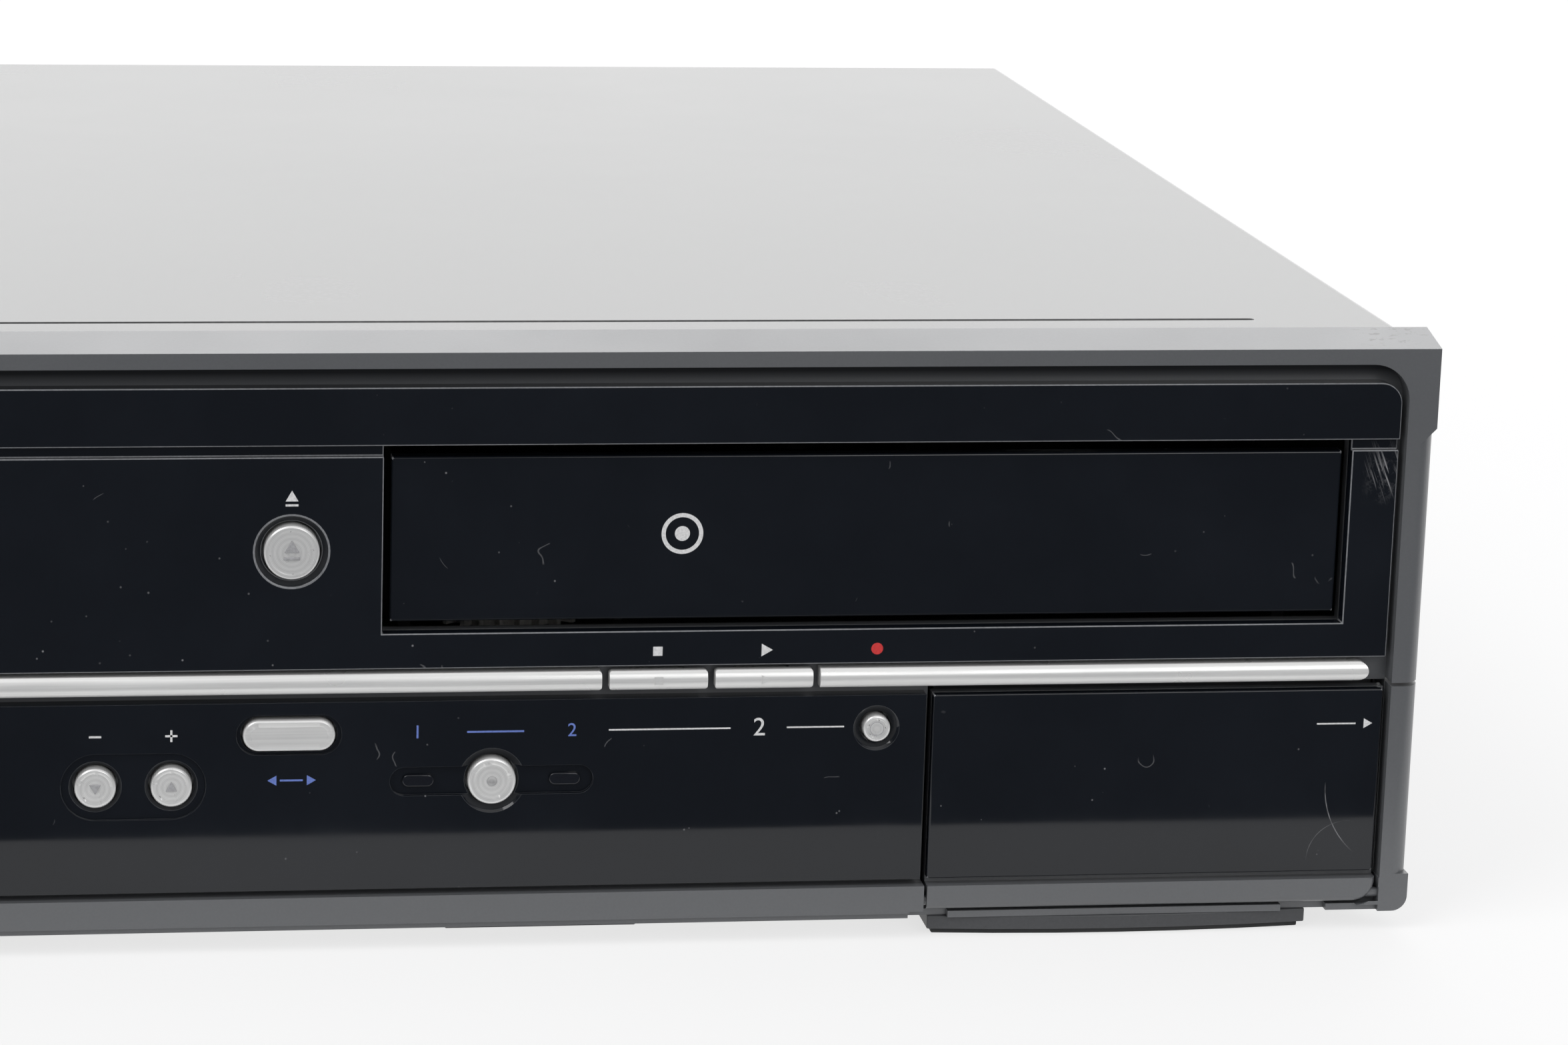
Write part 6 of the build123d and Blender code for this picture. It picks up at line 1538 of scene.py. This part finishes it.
@dataclass
class SocketInserts:
    """Coloured insulators of the phono sockets, front and back."""

    rear_xs: tuple[float, ...] = (60.0, 76.0, 92.0)
    rear_zs: tuple[float, ...] = (24.0, 42.0)
    front_xs: tuple[float, ...] = (153.0, 169.0, 185.0)
    front_z: float = 24.0
    rear_face: float = 306.0
    front_face: float = 18.0
    radius: float = 3.55
    thickness: float = 0.85
    middle: float = 0.55
    rim: float = 1.2
    contact_radius: float = 1.5
    contact_length: float = 0.7
    contact_middle: float = 0.75
    colours: tuple[Plastic, ...] = (YELLOW, WHITE_INSERT, RED_INSERT)

    def build(self) -> None:
        """Builds every insulator."""
        for index, (x, colour) in enumerate(zip(self.rear_xs, self.colours)):
            for row, z in enumerate(self.rear_zs):
                self.insert(f"rear_insert_{index}_{row}", x, z, self.rear_face, -1, colour)
        for index, (x, colour) in enumerate(zip(self.front_xs, self.colours)):
            self.insert(f"front_insert_{index}", x, self.front_z, self.front_face, 1, colour)

    def insert(self, name: str, x: float, z: float, face: float, inward: int, colour: Plastic) -> None:
        """Builds one insulator with a sunken middle, and the contact in it.

        Args:
            name: Name of the piece.
            x: Middle, in millimetres.
            z: Height, in millimetres.
            face: Depth of the socket's open end, in millimetres.
            inward: Sign of the depth that leads into the socket.
            colour: Its finish.
        """
        into = BACKWARD * inward
        centre = place(x, face + inward * self.middle, z)
        piece = Bench.rod(name, centre, self.radius * MM, self.thickness * MM, Axis.Y, 48)
        if Bench.pick(piece, Bench.facing(Axis.Y, -inward)):
            bpy.ops.mesh.inset(thickness=self.rim * MM, depth=0)
            Bench.sink(piece, 0.05 * MM, 0.55 * MM, into)
        Bench.round_edges(piece, 0.12 * MM)
        Bench.dress(piece, colour, "machine", "socket_plastic")
        centre = place(x, face + inward * self.contact_middle, z)
        contact = Bench.rod(name + "_contact", centre, self.contact_radius * MM, self.contact_length * MM,
                            Axis.Y, 32)
        if Bench.pick(contact, Bench.facing(Axis.Y, -inward)):
            Bench.sink(contact, 0.35 * MM, 0.5 * MM, into)
        Bench.round_edges(contact, 0.08 * MM)
        Bench.dress(contact, NICKEL, "machine", "motor_steel")


@dataclass
class Inside:
    """Fixed parts that keep their shape and only get a finish."""

    finishes: dict[str, object] = field(default_factory=lambda: {
        "chassis_pan": ZINC, "deck_chassis": ZINC, "clamp_bridge": ZINC, "cassette_holder": ZINC,
        "front_jack_panel": DARK_PLASTIC, "loader_frame": DARK_PLASTIC, "disc_tray": DARK_PLASTIC,
        "control_board": BOARD, "main_board": BOARD, "power_board": BOARD,
        "display_module": DISPLAY, "loading_gear": WHITE_PLASTIC, "motor_pinion": WHITE_PLASTIC,
        "disc_clamper": WHITE_PLASTIC, "traverse_chassis": DARK_PLASTIC, "carriage_slider": DARK_PLASTIC,
        "pickup_rails": ALLOY, "optical_pickup": DARK_PLASTIC, "spindle_motor": MOTOR_STEEL,
        "turntable": DARK_PLASTIC, "loading_motor": MOTOR_STEEL, "drum_base": ALLOY, "head_drum": ALLOY,
        "capstan": ALLOY, "pinch_arm": ZINC, "pinch_roller": RUBBER, "supply_reel": WHITE_PLASTIC,
        "takeup_reel": WHITE_PLASTIC, "rca_sockets": NICKEL, "scart_sockets": SOCKET_PLASTIC,
        "hdmi_socket": NICKEL, "tuner_can": ZINC, "mains_inlet": SOCKET_PLASTIC,
    })

    def build(self) -> None:
        """Dresses every one."""
        for node, finish in self.finishes.items():
            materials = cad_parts[node].data.materials
            material = SHOP.get(finish)
            if materials:
                for index in range(len(materials)):
                    materials[index] = material
            else:
                materials.append(material)
            log.info("%s keeps its shape", node)


# ---------------------------------------------------------------- studio


@dataclass(frozen=True)
class Softbox:
    """A soft lamp: its place, the point it faces and its width and height in metres, and its watts."""

    name: str
    where: tuple[float, float, float]
    aim: tuple[float, float, float]
    size: Point
    power: float


@dataclass
class Studio:
    """Floor, backdrop light, lamps and camera."""

    softboxes: tuple[Softbox, ...] = (
        Softbox("high_left", (-0.9, -0.7, 1.3), (0.0, 0.0, 0.05), (1.0, 1.0), 11.0),
        Softbox("front_fill", (0.7, -1.6, 0.8), (0.1, -0.1, 0.05), (0.8, 0.8), 6.0),
        Softbox("back_panel", (0.1, 1.5, 1.35), (0.1, 0.0, 0.1), (2.4, 0.9), 16.0),
    )
    floor_front: float = 55.0
    floor_reach: float = 3.0
    floor_tone: float = 0.93
    floor_glow: float = 0.7
    given_level: Colour = (0.62, 0.62, 0.63)
    front_level: Colour = (0.09, 0.095, 0.105)
    back_span: Point = (-0.25, 0.15)
    high_span: Point = (0.35, 0.8)
    camera_place: tuple[float, float, float] = (0.00428, -0.76423, 0.22754)
    camera_turn: tuple[float, float, float] = (78.458, -1.142, -6.401)
    lens: float = 93.81
    shift: Point = (0.15, -0.13)

    def build(self) -> None:
        """Sets up the whole studio."""
        self.view()
        self.world()
        self.floor()
        self.lamps()
        self.camera()

    def view(self) -> None:
        """Uses the plain view transform."""
        bpy.context.scene.view_settings.view_transform = "Standard"

    @staticmethod
    def greater(tree: bpy.types.NodeTree, first: bpy.types.NodeSocket,
                second: bpy.types.NodeSocket) -> bpy.types.NodeSocket:
        """Adds a node that gives the greater of two values.

        Args:
            tree: Node tree to work in.
            first: First value.
            second: Second value.

        Returns:
            The greater one.
        """
        node = tree.nodes.new("ShaderNodeMath")
        node.operation = "MAXIMUM"
        tree.links.new(first, node.inputs[0])
        tree.links.new(second, node.inputs[1])
        return node.outputs[0]

    def rays(self, tree: bpy.types.NodeTree) -> bpy.types.NodeSocket:
        """Gives 1 for what the camera, metal and glass see, and 0 for light on the object.

        Args:
            tree: Node tree to work in.

        Returns:
            The mask.
        """
        path = tree.nodes.new("ShaderNodeLightPath")
        mask = path.outputs["Is Camera Ray"]
        for name in ("Is Glossy Ray", "Is Transmission Ray"):
            mask = self.greater(tree, mask, path.outputs[name])
        return mask

    def world(self) -> None:
        """Makes a white surround, with a softer level for the light it gives."""
        world = bpy.data.worlds.new("studio")
        bpy.context.scene.world = world
        world.use_nodes = True
        tree = world.node_tree
        tree.nodes.clear()
        output = tree.nodes.new("ShaderNodeOutputWorld")
        shown = tree.nodes.new("ShaderNodeBackground")
        tree.links.new(self.surround(tree), shown.inputs["Color"])
        given = tree.nodes.new("ShaderNodeBackground")
        given.inputs["Color"].default_value = (*self.given_level, 1.0)
        mix = tree.nodes.new("ShaderNodeMixShader")
        tree.links.new(self.rays(tree), mix.inputs[0])
        tree.links.new(given.outputs[0], mix.inputs[1])
        tree.links.new(shown.outputs[0], mix.inputs[2])
        tree.links.new(mix.outputs[0], output.inputs[0])

    def surround(self, tree: bpy.types.NodeTree) -> bpy.types.NodeSocket:
        """Gives the surround's colour: white for the camera, behind and above, and dim low in front.

        Args:
            tree: The world's node tree.

        Returns:
            The colour.
        """
        where = tree.nodes.new("ShaderNodeTexCoord")
        parts = tree.nodes.new("ShaderNodeSeparateXYZ")
        tree.links.new(where.outputs["Generated"], parts.inputs[0])
        back = tree.nodes.new("ShaderNodeMapRange")
        high = tree.nodes.new("ShaderNodeMapRange")
        for node, socket, (low, top) in ((back, "Y", self.back_span), (high, "Z", self.high_span)):
            node.inputs["From Min"].default_value = low
            node.inputs["From Max"].default_value = top
            tree.links.new(parts.outputs[socket], node.inputs["Value"])
        path = tree.nodes.new("ShaderNodeLightPath")
        level = self.greater(tree, back.outputs[0], high.outputs[0])
        level = self.greater(tree, level, path.outputs["Is Camera Ray"])
        mix = tree.nodes.new("ShaderNodeMix")
        mix.data_type = "RGBA"
        mix.inputs[6].default_value = (*self.front_level, 1.0)
        mix.inputs[7].default_value = WHITE
        tree.links.new(level, mix.inputs["Factor"])
        return mix.outputs[2]

    def floor(self) -> None:
        """Makes the pale floor that keeps the object's shadow."""
        Bench.clear()
        middle = place(0, -self.floor_front, 0) + BACKWARD * self.floor_reach
        bpy.ops.mesh.primitive_plane_add(size=2 * self.floor_reach, location=middle)
        floor = bpy.context.object
        floor.name = "floor"
        Bench.settle(floor)
        material = bpy.data.materials.new("floor_white")
        material.use_nodes = True
        tree = material.node_tree
        tree.nodes.clear()
        output = tree.nodes.new("ShaderNodeOutputMaterial")
        matt = tree.nodes.new("ShaderNodeBsdfDiffuse")
        matt.inputs["Color"].default_value = (*(self.floor_tone,) * 3, 1.0)
        glow = tree.nodes.new("ShaderNodeEmission")
        glow.inputs["Color"].default_value = WHITE
        glow.inputs["Strength"].default_value = 1.0
        share = tree.nodes.new("ShaderNodeMath")
        share.operation = "MULTIPLY"
        share.inputs[1].default_value = self.floor_glow
        mix = tree.nodes.new("ShaderNodeMixShader")
        tree.links.new(self.rays(tree), share.inputs[0])
        tree.links.new(share.outputs[0], mix.inputs[0])
        tree.links.new(matt.outputs[0], mix.inputs[1])
        tree.links.new(glow.outputs[0], mix.inputs[2])
        tree.links.new(mix.outputs[0], output.inputs[0])
        floor.data.materials.append(material)

    def lamps(self) -> None:
        """Adds the soft lamps: high at the left, low in front, and a wide one behind."""
        for box in self.softboxes:
            light = bpy.data.lights.new(box.name, "AREA")
            light.shape = "RECTANGLE"
            light.size, light.size_y = box.size
            light.energy = box.power
            lamp = bpy.data.objects.new(box.name, light)
            bpy.context.scene.collection.objects.link(lamp)
            lamp.location = box.where
            away = Vector(box.aim) - Vector(box.where)
            lamp.rotation_euler = away.to_track_quat("-Z", "Y").to_euler()

    def camera(self) -> None:
        """Adds the camera at the photograph's viewing angle."""
        data = bpy.data.cameras.new("camera")
        data.lens = self.lens
        data.sensor_width = 36.0
        data.sensor_fit = "HORIZONTAL"
        data.shift_x, data.shift_y = self.shift
        data.clip_start, data.clip_end = 0.01, 20.0
        camera = bpy.data.objects.new("camera", data)
        bpy.context.scene.collection.objects.link(camera)
        camera.location = self.camera_place
        camera.rotation_euler = tuple(math.radians(a) for a in self.camera_turn)
        bpy.context.scene.camera = camera


def main() -> None:
    """Builds the player, piece by piece."""
    logging.basicConfig(level=logging.INFO, format="%(name)s: %(message)s")
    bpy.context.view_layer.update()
    for part in (Studio(), Inside(), Enclosure(), Doors(), Buttons(), Printing(), Lamps(), SocketInserts()):
        log.info("building %s", type(part).__name__)
        part.build()


if __name__ == "__main__":
    main()
